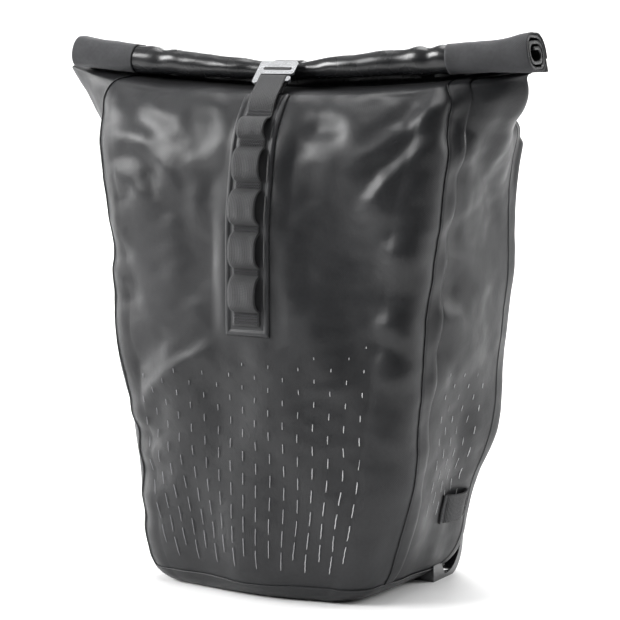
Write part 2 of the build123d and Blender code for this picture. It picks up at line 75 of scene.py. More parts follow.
def ramp(nt, source, stops):
    r = nt.nodes.new("ShaderNodeValToRGB")
    while len(r.color_ramp.elements) > 1:
        r.color_ramp.elements.remove(r.color_ramp.elements[-1])
    r.color_ramp.elements[0].position = stops[0][0]
    r.color_ramp.elements[0].color = (*stops[0][1], 1)
    for p, c in stops[1:]:
        e = r.color_ramp.elements.new(p)
        e.color = (*c, 1)
    nt.links.new(source, r.inputs[0])
    return r.outputs[0]


def grey_ramp(nt, source, lo, hi, p0=0.3, p1=0.7):
    return ramp(nt, source, [(p0, (lo, lo, lo)), (p1, (hi, hi, hi))])


def math_node(nt, op, a, b=None):
    n = nt.nodes.new("ShaderNodeMath")
    n.operation = op
    for i, v in enumerate((a, b)):
        if v is None:
            continue
        if isinstance(v, (int, float)):
            n.inputs[i].default_value = v
        else:
            nt.links.new(v, n.inputs[i])
    return n.outputs[0]


def weave_height(nt, coords, pitch_u, pitch_v):
    """Over-under weave height from a surface coordinate in metres."""
    sep = nt.nodes.new("ShaderNodeSeparateXYZ")
    nt.links.new(coords, sep.inputs[0])
    su = math_node(nt, "SINE", math_node(nt, "MULTIPLY", sep.outputs[0], math.pi / pitch_u))
    sv = math_node(nt, "SINE", math_node(nt, "MULTIPLY", sep.outputs[1], math.pi / pitch_v))
    return math_node(nt, "MULTIPLY", su, sv)


def coated_fabric(name, dark, light, rough=(0.36, 0.5), weave=0.9, weave_strength=0.25,
                  sheen=0.12, spec=0.38, mottle=60.0, coat=0.0):
    m, nt, b = material(name)
    tc = node(nt, "ShaderNodeTexCoord")
    uv = node(nt, "ShaderNodeUVMap", uv_map="surface")
    big = node(nt, "ShaderNodeTexNoise", in_Scale=mottle * 0.12, in_Detail=5.0, in_Roughness=0.55)
    nt.links.new(tc.outputs["Object"], big.inputs["Vector"])
    fine = node(nt, "ShaderNodeTexNoise", in_Scale=mottle * 6, in_Detail=4.0, in_Roughness=0.6)
    nt.links.new(tc.outputs["Object"], fine.inputs["Vector"])
    col = ramp(nt, big.outputs["Fac"], [(0.32, dark), (0.68, light)])
    speck = grey_ramp(nt, fine.outputs["Fac"], 0.86, 1.12, 0.35, 0.65)
    mix = node(nt, "ShaderNodeMix", data_type="RGBA", blend_type="MULTIPLY")
    mix.inputs[0].default_value = 1.0
    nt.links.new(col, mix.inputs[6])
    nt.links.new(speck, mix.inputs[7])
    # Wear: the tops of folds and edges rub a little paler.
    geo = node(nt, "ShaderNodeNewGeometry")
    wear = ramp(nt, geo.outputs["Pointiness"], [(0.50, (0, 0, 0)), (0.60, (1, 1, 1))])
    rubbed = node(nt, "ShaderNodeMix", data_type="RGBA", blend_type="MIX")
    wear_amount = math_node(nt, "MULTIPLY", wear, 0.12)
    nt.links.new(wear_amount, rubbed.inputs[0])
    nt.links.new(mix.outputs[2], rubbed.inputs[6])
    rubbed.inputs[7].default_value = (*(min(1.0, c * 2.0 + 0.01) for c in light), 1)
    nt.links.new(rubbed.outputs[2], b.inputs["Base Color"])
    med = node(nt, "ShaderNodeTexNoise", in_Scale=mottle * 0.7, in_Detail=3.0)
    nt.links.new(tc.outputs["Object"], med.inputs["Vector"])
    r = grey_ramp(nt, med.outputs["Fac"], rough[0], rough[1], 0.3, 0.7)
    nt.links.new(r, b.inputs["Roughness"])
    wv = weave_height(nt, uv.outputs["UV"], weave * MM, weave * MM)
    bump1 = node(nt, "ShaderNodeBump", in_Strength=weave_strength, in_Distance=0.00012)
    nt.links.new(wv, bump1.inputs["Height"])
    bump2 = node(nt, "ShaderNodeBump", in_Strength=0.35, in_Distance=0.0004)
    peel = node(nt, "ShaderNodeTexNoise", in_Scale=mottle * 3.2, in_Detail=3.0, in_Roughness=0.55)
    nt.links.new(tc.outputs["Object"], peel.inputs["Vector"])
    nt.links.new(peel.outputs["Fac"], bump2.inputs["Height"])
    nt.links.new(bump1.outputs["Normal"], bump2.inputs["Normal"])
    nt.links.new(bump2.outputs["Normal"], b.inputs["Normal"])
    b.inputs["Sheen Weight"].default_value = sheen
    b.inputs["Sheen Roughness"].default_value = 0.45
    b.inputs["Specular IOR Level"].default_value = spec
    b.inputs["Coat Weight"].default_value = coat
    b.inputs["Coat Roughness"].default_value = 0.35
    return m


def webbing_material(name, dark, light, rib=1.6, rough=0.6):
    m, nt, b = material(name)
    uv = node(nt, "ShaderNodeUVMap", uv_map="surface")
    tc = node(nt, "ShaderNodeTexCoord")
    sep = nt.nodes.new("ShaderNodeSeparateXYZ")
    nt.links.new(uv.outputs["UV"], sep.inputs[0])
    # Warp ribs along the strap, each broken up by the weft.
    su = math_node(nt, "SINE", math_node(nt, "MULTIPLY", sep.outputs[0], 2 * math.pi / (rib * MM)))
    sv = math_node(nt, "SINE", math_node(nt, "ADD",
                   math_node(nt, "MULTIPLY", sep.outputs[1], 2 * math.pi / (1.25 * MM)),
                   math_node(nt, "MULTIPLY", su, 1.2)))
    h = math_node(nt, "ADD", math_node(nt, "MULTIPLY", su, 0.5), math_node(nt, "MULTIPLY", sv, 0.5))
    fine = node(nt, "ShaderNodeTexNoise", in_Scale=900.0, in_Detail=3.0)
    nt.links.new(tc.outputs["Object"], fine.inputs["Vector"])
    # The rib height is painted into the colour too: the grooves between the ribs get painted shade, and the noise adds
    # random tone on top.
    rib_painted_shade_and_tone = math_node(nt, "ADD", math_node(nt, "MULTIPLY", h, 0.22), fine.outputs["Fac"])
    col = ramp(nt, rib_painted_shade_and_tone, [(0.3, dark), (0.75, light)])
    nt.links.new(col, b.inputs["Base Color"])
    bump = node(nt, "ShaderNodeBump", in_Strength=0.8, in_Distance=0.00035)
    nt.links.new(h, bump.inputs["Height"])
    nt.links.new(bump.outputs["Normal"], b.inputs["Normal"])
    r = grey_ramp(nt, fine.outputs["Fac"], rough - 0.1, rough + 0.12)
    nt.links.new(r, b.inputs["Roughness"])
    b.inputs["Sheen Weight"].default_value = 0.08
    b.inputs["Sheen Roughness"].default_value = 0.4
    return m


def plastic_material(name, dark, light, rough=(0.42, 0.55), grain=0.35, scale=1400.0, coat=0.0):
    m, nt, b = material(name)
    tc = node(nt, "ShaderNodeTexCoord")
    fine = node(nt, "ShaderNodeTexNoise", in_Scale=scale, in_Detail=2.0)
    nt.links.new(tc.outputs["Object"], fine.inputs["Vector"])
    big = node(nt, "ShaderNodeTexNoise", in_Scale=40.0, in_Detail=6.0, in_Roughness=0.65)
    nt.links.new(tc.outputs["Object"], big.inputs["Vector"])
    col = ramp(nt, big.outputs["Fac"], [(0.3, dark), (0.7, light)])
    geo = node(nt, "ShaderNodeNewGeometry")
    edge = ramp(nt, geo.outputs["Pointiness"], [(0.52, (0, 0, 0)), (0.62, (1, 1, 1))])
    mix = node(nt, "ShaderNodeMix", data_type="RGBA", blend_type="MIX")
    nt.links.new(math_node(nt, "MULTIPLY", edge, 0.35), mix.inputs[0])
    nt.links.new(col, mix.inputs[6])
    mix.inputs[7].default_value = (*(c * 2.2 + 0.01 for c in light), 1)
    nt.links.new(mix.outputs[2], b.inputs["Base Color"])
    nt.links.new(grey_ramp(nt, big.outputs["Fac"], rough[0], rough[1]), b.inputs["Roughness"])
    bump = node(nt, "ShaderNodeBump", in_Strength=grain, in_Distance=0.0002)
    nt.links.new(fine.outputs["Fac"], bump.inputs["Height"])
    nt.links.new(bump.outputs["Normal"], b.inputs["Normal"])
    b.inputs["Coat Weight"].default_value = coat
    b.inputs["Coat Roughness"].default_value = 0.08
    return m


def metal_material(name, dark, light, rough=(0.16, 0.3), brushed=0.2, scale=(30, 900, 900)):
    m, nt, b = material(name)
    tc = node(nt, "ShaderNodeTexCoord")
    mp = node(nt, "ShaderNodeMapping")
    mp.inputs["Scale"].default_value = scale
    nt.links.new(tc.outputs["Object"], mp.inputs["Vector"])
    lines = node(nt, "ShaderNodeTexNoise", in_Scale=1.0, in_Detail=4.0)
    nt.links.new(mp.outputs["Vector"], lines.inputs["Vector"])
    big = node(nt, "ShaderNodeTexNoise", in_Scale=120.0, in_Detail=5.0)
    nt.links.new(tc.outputs["Object"], big.inputs["Vector"])
    nt.links.new(ramp(nt, big.outputs["Fac"], [(0.3, dark), (0.7, light)]), b.inputs["Base Color"])
    nt.links.new(grey_ramp(nt, lines.outputs["Fac"], rough[0], rough[1]), b.inputs["Roughness"])
    bump = node(nt, "ShaderNodeBump", in_Strength=brushed, in_Distance=0.0001)
    nt.links.new(lines.outputs["Fac"], bump.inputs["Height"])
    nt.links.new(bump.outputs["Normal"], b.inputs["Normal"])
    b.inputs["Metallic"].default_value = 1.0
    return m


FABRIC = coated_fabric("coated_fabric", (0.0085, 0.0089, 0.0100), (0.0145, 0.0149, 0.0165), sheen=0.02)
FABRIC_SHINY = coated_fabric("coated_fabric_shiny", (0.0055, 0.0058, 0.0066), (0.0100, 0.0103, 0.0116),
                             rough=(0.22, 0.34), weave_strength=0.12, coat=0.15, sheen=0.0)
FABRIC_STRIP = coated_fabric("backing_fabric", (0.0150, 0.0155, 0.0170), (0.0240, 0.0245, 0.0265), rough=(0.4, 0.52), sheen=0.02)
FABRIC_MATTE = coated_fabric("matte_patch_fabric", (0.0200, 0.0205, 0.0225), (0.0300, 0.0305, 0.0335),
                             rough=(0.62, 0.78), weave=0.7, weave_strength=0.9, sheen=0.06)
FABRIC_IN = coated_fabric("fabric_inside", (0.10, 0.10, 0.11), (0.16, 0.16, 0.17),
                          rough=(0.7, 0.85), weave_strength=0.6)
WEB = webbing_material("webbing", (0.0075, 0.0078, 0.0088), (0.0260, 0.0266, 0.0290))
WEB_DARK = webbing_material("strap_webbing", (0.0065, 0.0068, 0.0078), (0.0200, 0.0206, 0.0228), rough=0.5)
THREAD = webbing_material("thread", (0.05, 0.05, 0.055), (0.11, 0.11, 0.12), rib=0.4, rough=0.55)
PLASTIC = plastic_material("moulded_plastic", (0.020, 0.020, 0.022), (0.030, 0.030, 0.033))
GLOSS = plastic_material("gloss_plastic", (0.010, 0.010, 0.012), (0.016, 0.016, 0.018),
                         rough=(0.12, 0.22), grain=0.05, coat=0.6)
BOARD = plastic_material("board_plastic", (0.05, 0.05, 0.055), (0.07, 0.07, 0.075), rough=(0.5, 0.65))
CHROME = metal_material("bright_steel", (0.70, 0.71, 0.73), (0.86, 0.87, 0.89), rough=(0.10, 0.22), brushed=0.12)
STEEL = metal_material("zinc_steel", (0.42, 0.43, 0.45), (0.60, 0.61, 0.63), rough=(0.25, 0.42))
ALLOY = metal_material("anodised_alloy", (0.12, 0.125, 0.135), (0.18, 0.185, 0.195), rough=(0.3, 0.45))


def reflective_material():
    m, nt, b = material("reflective_print")
    tc = node(nt, "ShaderNodeTexCoord")
    big = node(nt, "ShaderNodeTexNoise", in_Scale=220.0, in_Detail=3.0)
    nt.links.new(tc.outputs["Object"], big.inputs["Vector"])
    # Painted light: the print's colour is painted brighter toward the right of the panel, standing in for the light the
    # reflective print catches there.
    sep = nt.nodes.new("ShaderNodeSeparateXYZ")
    nt.links.new(tc.outputs["Object"], sep.inputs[0])
    across = math_node(nt, "MULTIPLY", math_node(nt, "ADD", sep.outputs[0], 0.10), 5.2)
    print_painted_light = ramp(nt, across, [(0.0, (0.13, 0.13, 0.14)), (0.55, (0.24, 0.24, 0.25)), (1.0, (0.50, 0.50, 0.51))])
    mix = node(nt, "ShaderNodeMix", data_type="RGBA", blend_type="MULTIPLY")
    mix.inputs[0].default_value = 1.0
    nt.links.new(print_painted_light, mix.inputs[6])
    nt.links.new(grey_ramp(nt, big.outputs["Fac"], 0.8, 1.1), mix.inputs[7])
    nt.links.new(mix.outputs[2], b.inputs["Base Color"])
    bump = node(nt, "ShaderNodeBump", in_Strength=0.4, in_Distance=0.0001)
    beads = node(nt, "ShaderNodeTexVoronoi", in_Scale=2500.0)
    nt.links.new(tc.outputs["Object"], beads.inputs["Vector"])
    nt.links.new(beads.outputs["Distance"], bump.inputs["Height"])
    nt.links.new(bump.outputs["Normal"], b.inputs["Normal"])
    b.inputs["Roughness"].default_value = 0.45
    b.inputs["Metallic"].default_value = 0.2
    return m


PRINT = reflective_material()


# ---------------------------------------------------------------- mesh helpers
def mesh_object(name, verts_mm, faces, mat, uvs=None, smooth=True):
    me = bpy.data.meshes.new(name)
    me.from_pydata((np.asarray(verts_mm, float) * MM).tolist(), [], [list(map(int, f)) for f in faces])
    me.validate()
    if uvs is not None:
        layer = me.uv_layers.new(name="surface")
        idx = np.zeros(len(me.loops), int)
        me.loops.foreach_get("vertex_index", idx)
        layer.data.foreach_set("uv", np.asarray(uvs, np.float32)[idx].ravel())
    me.polygons.foreach_set("use_smooth", [smooth] * len(me.polygons))
    me.update()
    ob = bpy.data.objects.new(name, me)
    bpy.context.scene.collection.objects.link(ob)
    if mat is not None:
        me.materials.append(mat)
    return ob


def grid_faces(m, n, wrap_n=False, wrap_m=False, flip=False):
    i = np.arange(m if wrap_m else m - 1)
    j = np.arange(n if wrap_n else n - 1)
    I, J = np.meshgrid(i, j, indexing="ij")
    a = I * n + J
    b = I * n + (J + 1) % n
    c = ((I + 1) % m) * n + (J + 1) % n
    d = ((I + 1) % m) * n + J
    f = np.stack([a, b, c, d], -1).reshape(-1, 4)
    return f[:, ::-1] if flip else f


def arc_uv(P):
    """Surface distances along both ways of a grid, in metres."""
    du = np.zeros(P.shape[:2])
    dv = np.zeros(P.shape[:2])
    dv[:, 1:] = np.cumsum(np.linalg.norm(np.diff(P, axis=1), axis=2), 1)
    du[1:, :] = np.cumsum(np.linalg.norm(np.diff(P, axis=0), axis=2), 0)
    return np.stack([dv, du], -1) * MM


def apply_modifiers(ob):
    bpy.context.view_layer.update()
    dg = bpy.context.evaluated_depsgraph_get()
    me = bpy.data.meshes.new_from_object(ob.evaluated_get(dg))
    old = ob.data
    ob.modifiers.clear()
    ob.data = me
    bpy.data.meshes.remove(old)
    return ob


def grid_object(name, P, mat, thickness=0.0, flip=False, uv=None, offset=-1.0):
    m, n = P.shape[:2]
    uv = arc_uv(P) if uv is None else uv
    ob = mesh_object(name, P.reshape(-1, 3), grid_faces(m, n, flip=flip), mat, uv.reshape(-1, 2))
    if thickness:
        s = ob.modifiers.new("wall", "SOLIDIFY")
        s.thickness = thickness * MM
        s.offset = offset
        s.use_even_offset = False
        apply_modifiers(ob)
    return ob


def normals(P, wrap=False):
    du = np.gradient(P, axis=0)
    if wrap:
        dv = (np.roll(P, -1, 1) - np.roll(P, 1, 1)) / 2
    else:
        dv = np.gradient(P, axis=1)
    n = np.cross(dv, du)
    return n / np.maximum(np.linalg.norm(n, axis=2, keepdims=True), 1e-9)


def ride(ob, body, *nodes):
    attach(ob, body)
    if nodes:
        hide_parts(*nodes)
    return ob


def merged(name, parts, mat, uvs=True):
    """Several (verts, faces, uv) into one object."""
    V, F, U, k = [], [], [], 0
    for v, f, u in parts:
        V.append(v)
        F.append(np.asarray(f) + k)
        U.append(u)
        k += len(v)
    faces = [row for f in F for row in f]
    return mesh_object(name, np.vstack(V), faces, mat, np.vstack(U))


def smoothstep(x):
    x = np.clip(x, 0, 1)
    return x * x * (3 - 2 * x)


def pchip(xk, yk, x):
    xk, yk = np.asarray(xk, float), np.asarray(yk, float)
    h = np.diff(xk)
    d = np.diff(yk) / h
    s = np.zeros(len(xk))
    for i in range(1, len(xk) - 1):
        if d[i - 1] * d[i] > 0:
            w1, w2 = 2 * h[i] + h[i - 1], h[i] + 2 * h[i - 1]
            s[i] = (w1 + w2) / (w1 / d[i - 1] + w2 / d[i])
    s[0], s[-1] = d[0], d[-1]
    i = np.clip(np.searchsorted(xk, x) - 1, 0, len(h) - 1)
    t = (x - xk[i]) / h[i]
    return ((2 * t**3 - 3 * t**2 + 1) * yk[i] + (t**3 - 2 * t**2 + t) * h[i] * s[i]
            + (-2 * t**3 + 3 * t**2) * yk[i + 1] + (t**3 - t**2) * h[i] * s[i + 1])


class Noise:
    """Smooth seeded noise: a sum of plane waves with wavelengths around a given length."""

    def __init__(self, wavelength, stretch=(1, 1, 1), waves=28, seed=1):
        g = np.random.default_rng(seed)
        k = g.normal(size=(waves, 3))
        k /= np.linalg.norm(k, axis=1, keepdims=True)
        k *= (2 * math.pi / wavelength) * g.uniform(0.6, 1.5, (waves, 1))
        self.k = k / np.array(stretch)
        self.p = g.uniform(0, 2 * math.pi, waves)

    def __call__(self, P):
        s = P.shape[:-1]
        v = np.sin(P.reshape(-1, 3) @ self.k.T + self.p).sum(1) * math.sqrt(2 / len(self.p))
        return v.reshape(s)


# ---------------------------------------------------------------- bag surface
# Rows of the bag's outline, base to neck, mm:
# z, front-left half width, front-right, rear-left, rear-right, front corner y,
# front middle y, front corner radius, rear y, rear corner radius,
# outward spread of the left and right side panels, and how pointed that spread is
ROWS = np.array([
    (0.3, 88, 66, 80, 66, -64, -68, 26, 38, 14, 0, 0, 0),
    (2.2, 104, 78, 92, 82, -71, -77, 30, 48, 18, 1, 1, 0),
    (8, 115, 91, 101, 95, -76, -84, 32, 57, 18, 2, 1, 0),
    (24, 125, 104, 108, 105, -79, -90, 33, 73, 15, 3, 2, 0),
    (45, 128.5, 112, 114, 111, -81, -93, 32, 80, 13, 4, 3, 0),
    (80, 130, 118, 125, 120.5, -81, -95, 30, 80, 12, 5, 3, 0),
    (148, 140, 129, 139, 141, -81, -96, 30, 80, 12, 6, 3, 0),
    (220, 151, 139, 147, 151.5, -81, -95, 29, 80, 12, 6, 5, 0),
    (304, 159, 149, 153, 157, -80, -94, 28, 80, 12, 5, 4, 0),
    (345, 162, 154, 157, 162, -76, -88.5, 25, 80, 12, 16, 8, 0.3),
    (371, 165, 157, 160, 167, -71.5, -83.5, 22, 79, 12, 37, 16, 0.7),
    (395, 168, 156, 162, 165, -60, -71.0, 15, 40, 11, 54, 42, 1),
    (409, 162, 150, 156, 156, -46, -57, 9, 13, 8, 66, 56, 1),
    (413.5, 150, 146, 148, 146, -17, -17, 3, -7, 3, 71, 66, 1),
], float)
KEY_LEN = np.concatenate([[0], np.cumsum(np.linalg.norm(
    np.diff(ROWS[:, [0, 2, 6, 8]] * [1, 0.6, 0.8, 0.35], axis=0), axis=1))])
NV = 330
tv = np.linspace(0, KEY_LEN[-1], NV)
row = np.stack([pchip(KEY_LEN, ROWS[:, i], tv) for i in range(ROWS.shape[1])], 1)

N_ARC, N_FRONT, N_SIDE, N_RARC, N_BACK = 16, 190, 72, 12, 120


def section(r):
    z, fl, fr, rl, rr, yf, yc, rf, yb, rb, wl, wr, sharp = r
    q = np.linspace(-1, 1, N_FRONT)
    w_l, w_r = fl - rf, fr - rf
    x = np.where(q < 0, q * w_l, q * w_r)
    bulge = np.cos(np.clip(q, -1, 1) * math.pi / 2) ** 0.9
    front = np.stack([x, yf + (yc - yf) * bulge], 1)
    a = np.linspace(math.pi / 2, 0, N_ARC)[1:-1]
    right_arc = np.stack([fr - rf + rf * np.cos(a), yf + rf - rf * np.sin(a)], 1)
    left_arc = np.stack([-(fl - rf) - rf * np.cos(a[::-1]), yf + rf - rf * np.sin(a[::-1])], 1)
    s = np.linspace(0, 1, N_SIDE)
    y0, y1 = yf + rf, yb - rb
    tri = 1 - np.abs(2 * s - 1) ** (2 - 0.8 * sharp)
    right = np.stack([fr + (rr - fr) * s + wr * tri, y0 + (y1 - y0) * s], 1)
    left = np.stack([-(fl + (rl - fl) * s) - wl * tri, y0 + (y1 - y0) * s], 1)
    b = np.linspace(0, math.pi / 2, N_RARC)[1:-1]
    rear_r = np.stack([rr - rb + rb * np.cos(b), yb - rb + rb * np.sin(b)], 1)
    rear_l = np.stack([-(rl - rb) - rb * np.cos(b[::-1]), yb - rb + rb * np.sin(b[::-1])], 1)
    u = np.linspace(1, -1, N_BACK)
    back = np.stack([np.where(u > 0, u * (rr - rb), u * (rl - rb)), np.full(N_BACK, yb)], 1)
    # One loop, clockwise seen from below: left seam, front, right seam, right side, back, left side.
    loop = np.vstack([left_arc, front, right_arc, right, rear_r, back, rear_l, left[::-1]])
    return loop


loops = np.stack([section(r) for r in row])            # NV x NS x 2
NS = loops.shape[1]
i_front0 = 0
i_front1 = len(range(N_ARC - 2)) * 2 + N_FRONT          # first index of the right side
i_side_r1 = i_front1 + N_SIDE
i_back0 = i_side_r1
i_back1 = i_back0 + 2 * (N_RARC - 2) + N_BACK
i_side_l0 = i_back1
base = np.dstack([loops, np.repeat(row[:, :1], NS, 1)])
zrow = row[:, 0][:, None]

# The top edge climbs with the roll toward its ends.
lift = smoothstep((zrow - 325) / 86)
base[:, :, 2] += lift * 17.5 * (np.abs(base[:, :, 0]) / 219) ** 2.0

N0 = normals(base, wrap=True)
flat = base.reshape(-1, 3)


def snap(p):
    return flat[np.argmin(((flat - np.asarray(p, float)) ** 2).sum(1))]


def dense(points, step=4.0):
    P = np.array([snap(p) for p in points], float)
    if len(P) > 2:
        # Catmull-Rom through the points.
        out = []
        Q = np.vstack([2 * P[0] - P[1], P, 2 * P[-1] - P[-2]])
        for i in range(1, len(Q) - 2):
            n = max(2, int(np.linalg.norm(Q[i + 1] - Q[i]) / step))
            for t in np.linspace(0, 1, n, endpoint=False):
                out.append(0.5 * ((2 * Q[i]) + (Q[i + 1] - Q[i - 1]) * t
                           + (2 * Q[i - 1] - 5 * Q[i] + 4 * Q[i + 1] - Q[i + 2]) * t * t
                           + (3 * Q[i] - Q[i - 1] - 3 * Q[i + 1] + Q[i + 2]) * t ** 3))
        out.append(P[-1])
        P = np.array(out)
    else:
        n = max(2, int(np.linalg.norm(P[1] - P[0]) / step))
        P = P[0] + (P[1] - P[0]) * np.linspace(0, 1, n)[:, None]
    return np.array([snap(p) for p in P])


disp = np.zeros(base.shape[:2])


def crease(points, width, depth, ends=0.25, sharp=2.0, side=0.0):
    """Ridge (depth > 0) or valley (depth < 0) along a line on the surface.
    side makes one flank steeper than the other."""
    if width < 10:
        width, depth = width * 1.22, depth * 0.62
    L = dense(points)
    lo, hi = L.min(0) - 3.2 * width, L.max(0) + 3.2 * width
    keep = np.all((base > lo) & (base < hi), axis=2)
    P = base[keep]
    if not len(P):
        return
    A, Bv = L[:-1], L[1:]
    seg = Bv - A
    ln = np.maximum((seg ** 2).sum(1), 1e-9)
    best = np.full(len(P), 1e9)
    along = np.zeros(len(P))
    sgn = np.zeros(len(P))
    Nk = N0[keep]
    for i in range(len(A)):
        t = np.clip(((P - A[i]) @ seg[i]) / ln[i], 0, 1)
        off = P - (A[i] + t[:, None] * seg[i])
        d2 = (off ** 2).sum(1)
        m = d2 < best
        best[m] = d2[m]
        along[m] = (i + t[m]) / len(A)
        sgn[m] = np.sign(np.einsum("ij,ij->i", np.cross(seg[i], off[m]), Nk[m]))
    dist = np.sqrt(best)
    w = width * (1 + side * sgn)
    taper = np.ones(len(P))
    if ends > 0:
        taper = smoothstep(along / ends) * smoothstep((1 - along) / ends)
    disp[keep] += depth * np.exp(-np.abs(dist / w) ** sharp) * taper


def dimple(point, radius, depth):
    c = snap(point)
    d = np.linalg.norm(base - c, axis=2)
    disp[:] += depth * np.exp(-(d / radius) ** 2)


# --- folds of the front, as in a filled bag pulled up by its strap ---
# Long soft hollow between the ladder and the right corner.
crease([(84, -85, 372), (80, -88, 330), (84, -90, 270), (92, -90, 205), (98, -88, 150)], 27, -7.0, 0.4)
crease([(58, -88, 330), (56, -90, 270), (60, -92, 215)], 18, -1.6, 0.4)
# Diagonal folds from the upper right corner down toward the middle.
crease([(178, -50, 414), (150, -70, 402), (118, -80, 380), (90, -86, 352)], 9, 4.6, 0.3, side=0.35)
crease([(176, -55, 402), (146, -74, 382), (116, -82, 358), (96, -88, 338)], 8, -3.8, 0.3)
crease([(166, -66, 388), (140, -78, 366), (112, -84, 336), (97, -88, 308)], 10, 4.4, 0.3, side=0.35)
crease([(160, -72, 372), (132, -82, 346), (112, -86, 318)], 8, -3.8, 0.35)
crease([(156, -72, 356), (132, -80, 332), (118, -84, 306)], 9, 3.4, 0.35)
crease([(152, -72, 336), (128, -82, 312), (116, -84, 288)], 8, -2.6, 0.35)
# Soft pillow and pinches beside the right seam.
crease([(110, -84, 292), (130, -78, 286), (152, -64, 284)], 12, 3.2, 0.35)
crease([(112, -84, 262), (132, -78, 256), (150, -62, 258)], 11, -2.8, 0.35)
crease([(108, -84, 238), (128, -78, 226), (146, -62, 214)], 10, 3.6, 0.3)
crease([(106, -84, 224), (126, -78, 208), (144, -62, 196)], 7, -3.4, 0.3)
crease([(104, -84, 204), (124, -78, 190), (140, -62, 184)], 9, 2.4, 0.35)
crease([(104, -86, 178), (122, -80, 168), (138, -62, 166)], 9, -1.8, 0.35)
crease([(108, -84, 152), (122, -78, 138), (132, -62, 128)], 10, 1.8, 0.35)
# Left of the ladder: curved fold under the left shoulder.
crease([(-150, -70, 372), (-126, -78, 374), (-98, -82, 364), (-78, -88, 342), (-66, -90, 312)], 9, 3.8, 0.3, side=-0.3)
crease([(-146, -72, 358), (-122, -80, 358), (-100, -84, 348), (-86, -88, 326)], 8, -3.4, 0.3)
crease([(-144, -72, 340), (-118, -82, 338), (-98, -86, 322), (-90, -88, 300)], 8, 2.6, 0.35)
crease([(-112, -82, 352), (-98, -86, 338), (-92, -88, 318)], 5, -2.2, 0.35)
crease([(-152, -66, 402), (-120, -76, 404), (-84, -80, 396), (-58, -84, 376)], 12, 2.6, 0.3)
crease([(-140, -66, 392), (-104, -78, 388), (-76, -84, 372)], 8, -2.0, 0.35)
crease([(-74, -88, 380), (-56, -90, 340), (-46, -92, 290)], 12, 2.2, 0.35)
# Left seam pinches.
crease([(-150, -66, 330), (-134, -76, 324), (-112, -84, 330)], 6, -3.2, 0.35)
crease([(-152, -66, 314), (-138, -74, 300), (-120, -80, 292)], 6, 3.4, 0.35)
crease([(-146, -66, 286), (-134, -74, 276), (-114, -82, 278)], 6, -3.0, 0.35)
crease([(-146, -66, 268), (-132, -76, 258), (-116, -82, 250)], 6, 3.4, 0.35)
crease([(-144, -66, 246), (-130, -76, 240), (-104, -84, 244)], 7, -2.6, 0.35)
crease([(-142, -66, 222), (-126, -76, 216), (-100, -84, 220)], 8, 1.8, 0.35)
# Long diagonal from below the ladder down to the left edge.
crease([(-22, -96, 214), (-52, -94, 196), (-84, -88, 176), (-112, -78, 152), (-124, -66, 136)], 11, 4.2, 0.3, side=0.3)
crease([(-34, -96, 196), (-64, -92, 178), (-92, -84, 158), (-112, -74, 138)], 8, -3.4, 0.3)
crease([(-60, -94, 222), (-88, -88, 206), (-116, -78, 186), (-134, -66, 170)], 10, -2.2, 0.35)
crease([(-128, -62, 150), (-116, -72, 140), (-98, -80, 140)], 6, 3.6, 0.35)
crease([(-126, -62, 134), (-112, -74, 124), (-90, -84, 122)], 6, -3.8, 0.35)
crease([(-124, -62, 112), (-104, -78, 108), (-76, -88, 116), (-54, -92, 112)], 7, 3.0, 0.35, side=0.3)
crease([(-122, -62, 98), (-100, -80, 94), (-72, -90, 102)], 7, -2.8, 0.35)
crease([(-120, -62, 78), (-102, -78, 72), (-84, -86, 76)], 7, 2.4, 0.35)
crease([(-118, -62, 60), (-104, -76, 54), (-90, -84, 58)], 6, -2.6, 0.35)
# Lower right corner facets.
crease([(132, -56, 118), (122, -68, 92), (108, -76, 60), (94, -78, 22)], 9, 3.0, 0.3)
crease([(124, -60, 96), (110, -74, 66), (84, -84, 34)], 9, -3.0, 0.3)
crease([(126, -52, 74), (112, -66, 46), (102, -62, 20)], 8, -2.6, 0.3)
crease([(78, -88, 60), (64, -88, 34), (46, -86, 16)], 10, -1.6, 0.4)
# Beside the ladder near the hook.
crease([(34, -72, 404), (58, -74, 402), (86, -72, 398)], 8, 3.4, 0.35)
crease([(42, -80, 386), (62, -82, 388), (84, -80, 382)], 7, -3.0, 0.35)
crease([(40, -84, 372), (62, -86, 360), (76, -88, 338)], 9, 2.6, 0.35)
crease([(-30, -72, 404), (-52, -72, 406), (-80, -70, 404)], 7, 2.6, 0.35)
crease([(-32, -80, 388), (-50, -82, 378), (-60, -86, 356)], 8, -2.0, 0.35)
# Short gathers that run down from the roll.
for gx, gd, gl in ((-190, 2.6, 26), (-172, -2.4, 34), (-150, 2.2, 30), (-128, -1.8, 26), (-106, 1.8, 24),
                   (-88, -1.6, 22), (96, -2.0, 24), (112, 2.2, 28), (130, -2.4, 30), (148, 2.6, 34),
                   (166, -2.4, 30), (184, 2.6, 30), (198, -2.2, 26)):
    zt = 408 + 15 * (gx / 219) ** 2
    crease([(gx, -56, zt), (gx * 0.965, -66, zt - gl * 0.5), (gx * 0.93, -72, zt - gl)], 5.5, gd, 0.3)

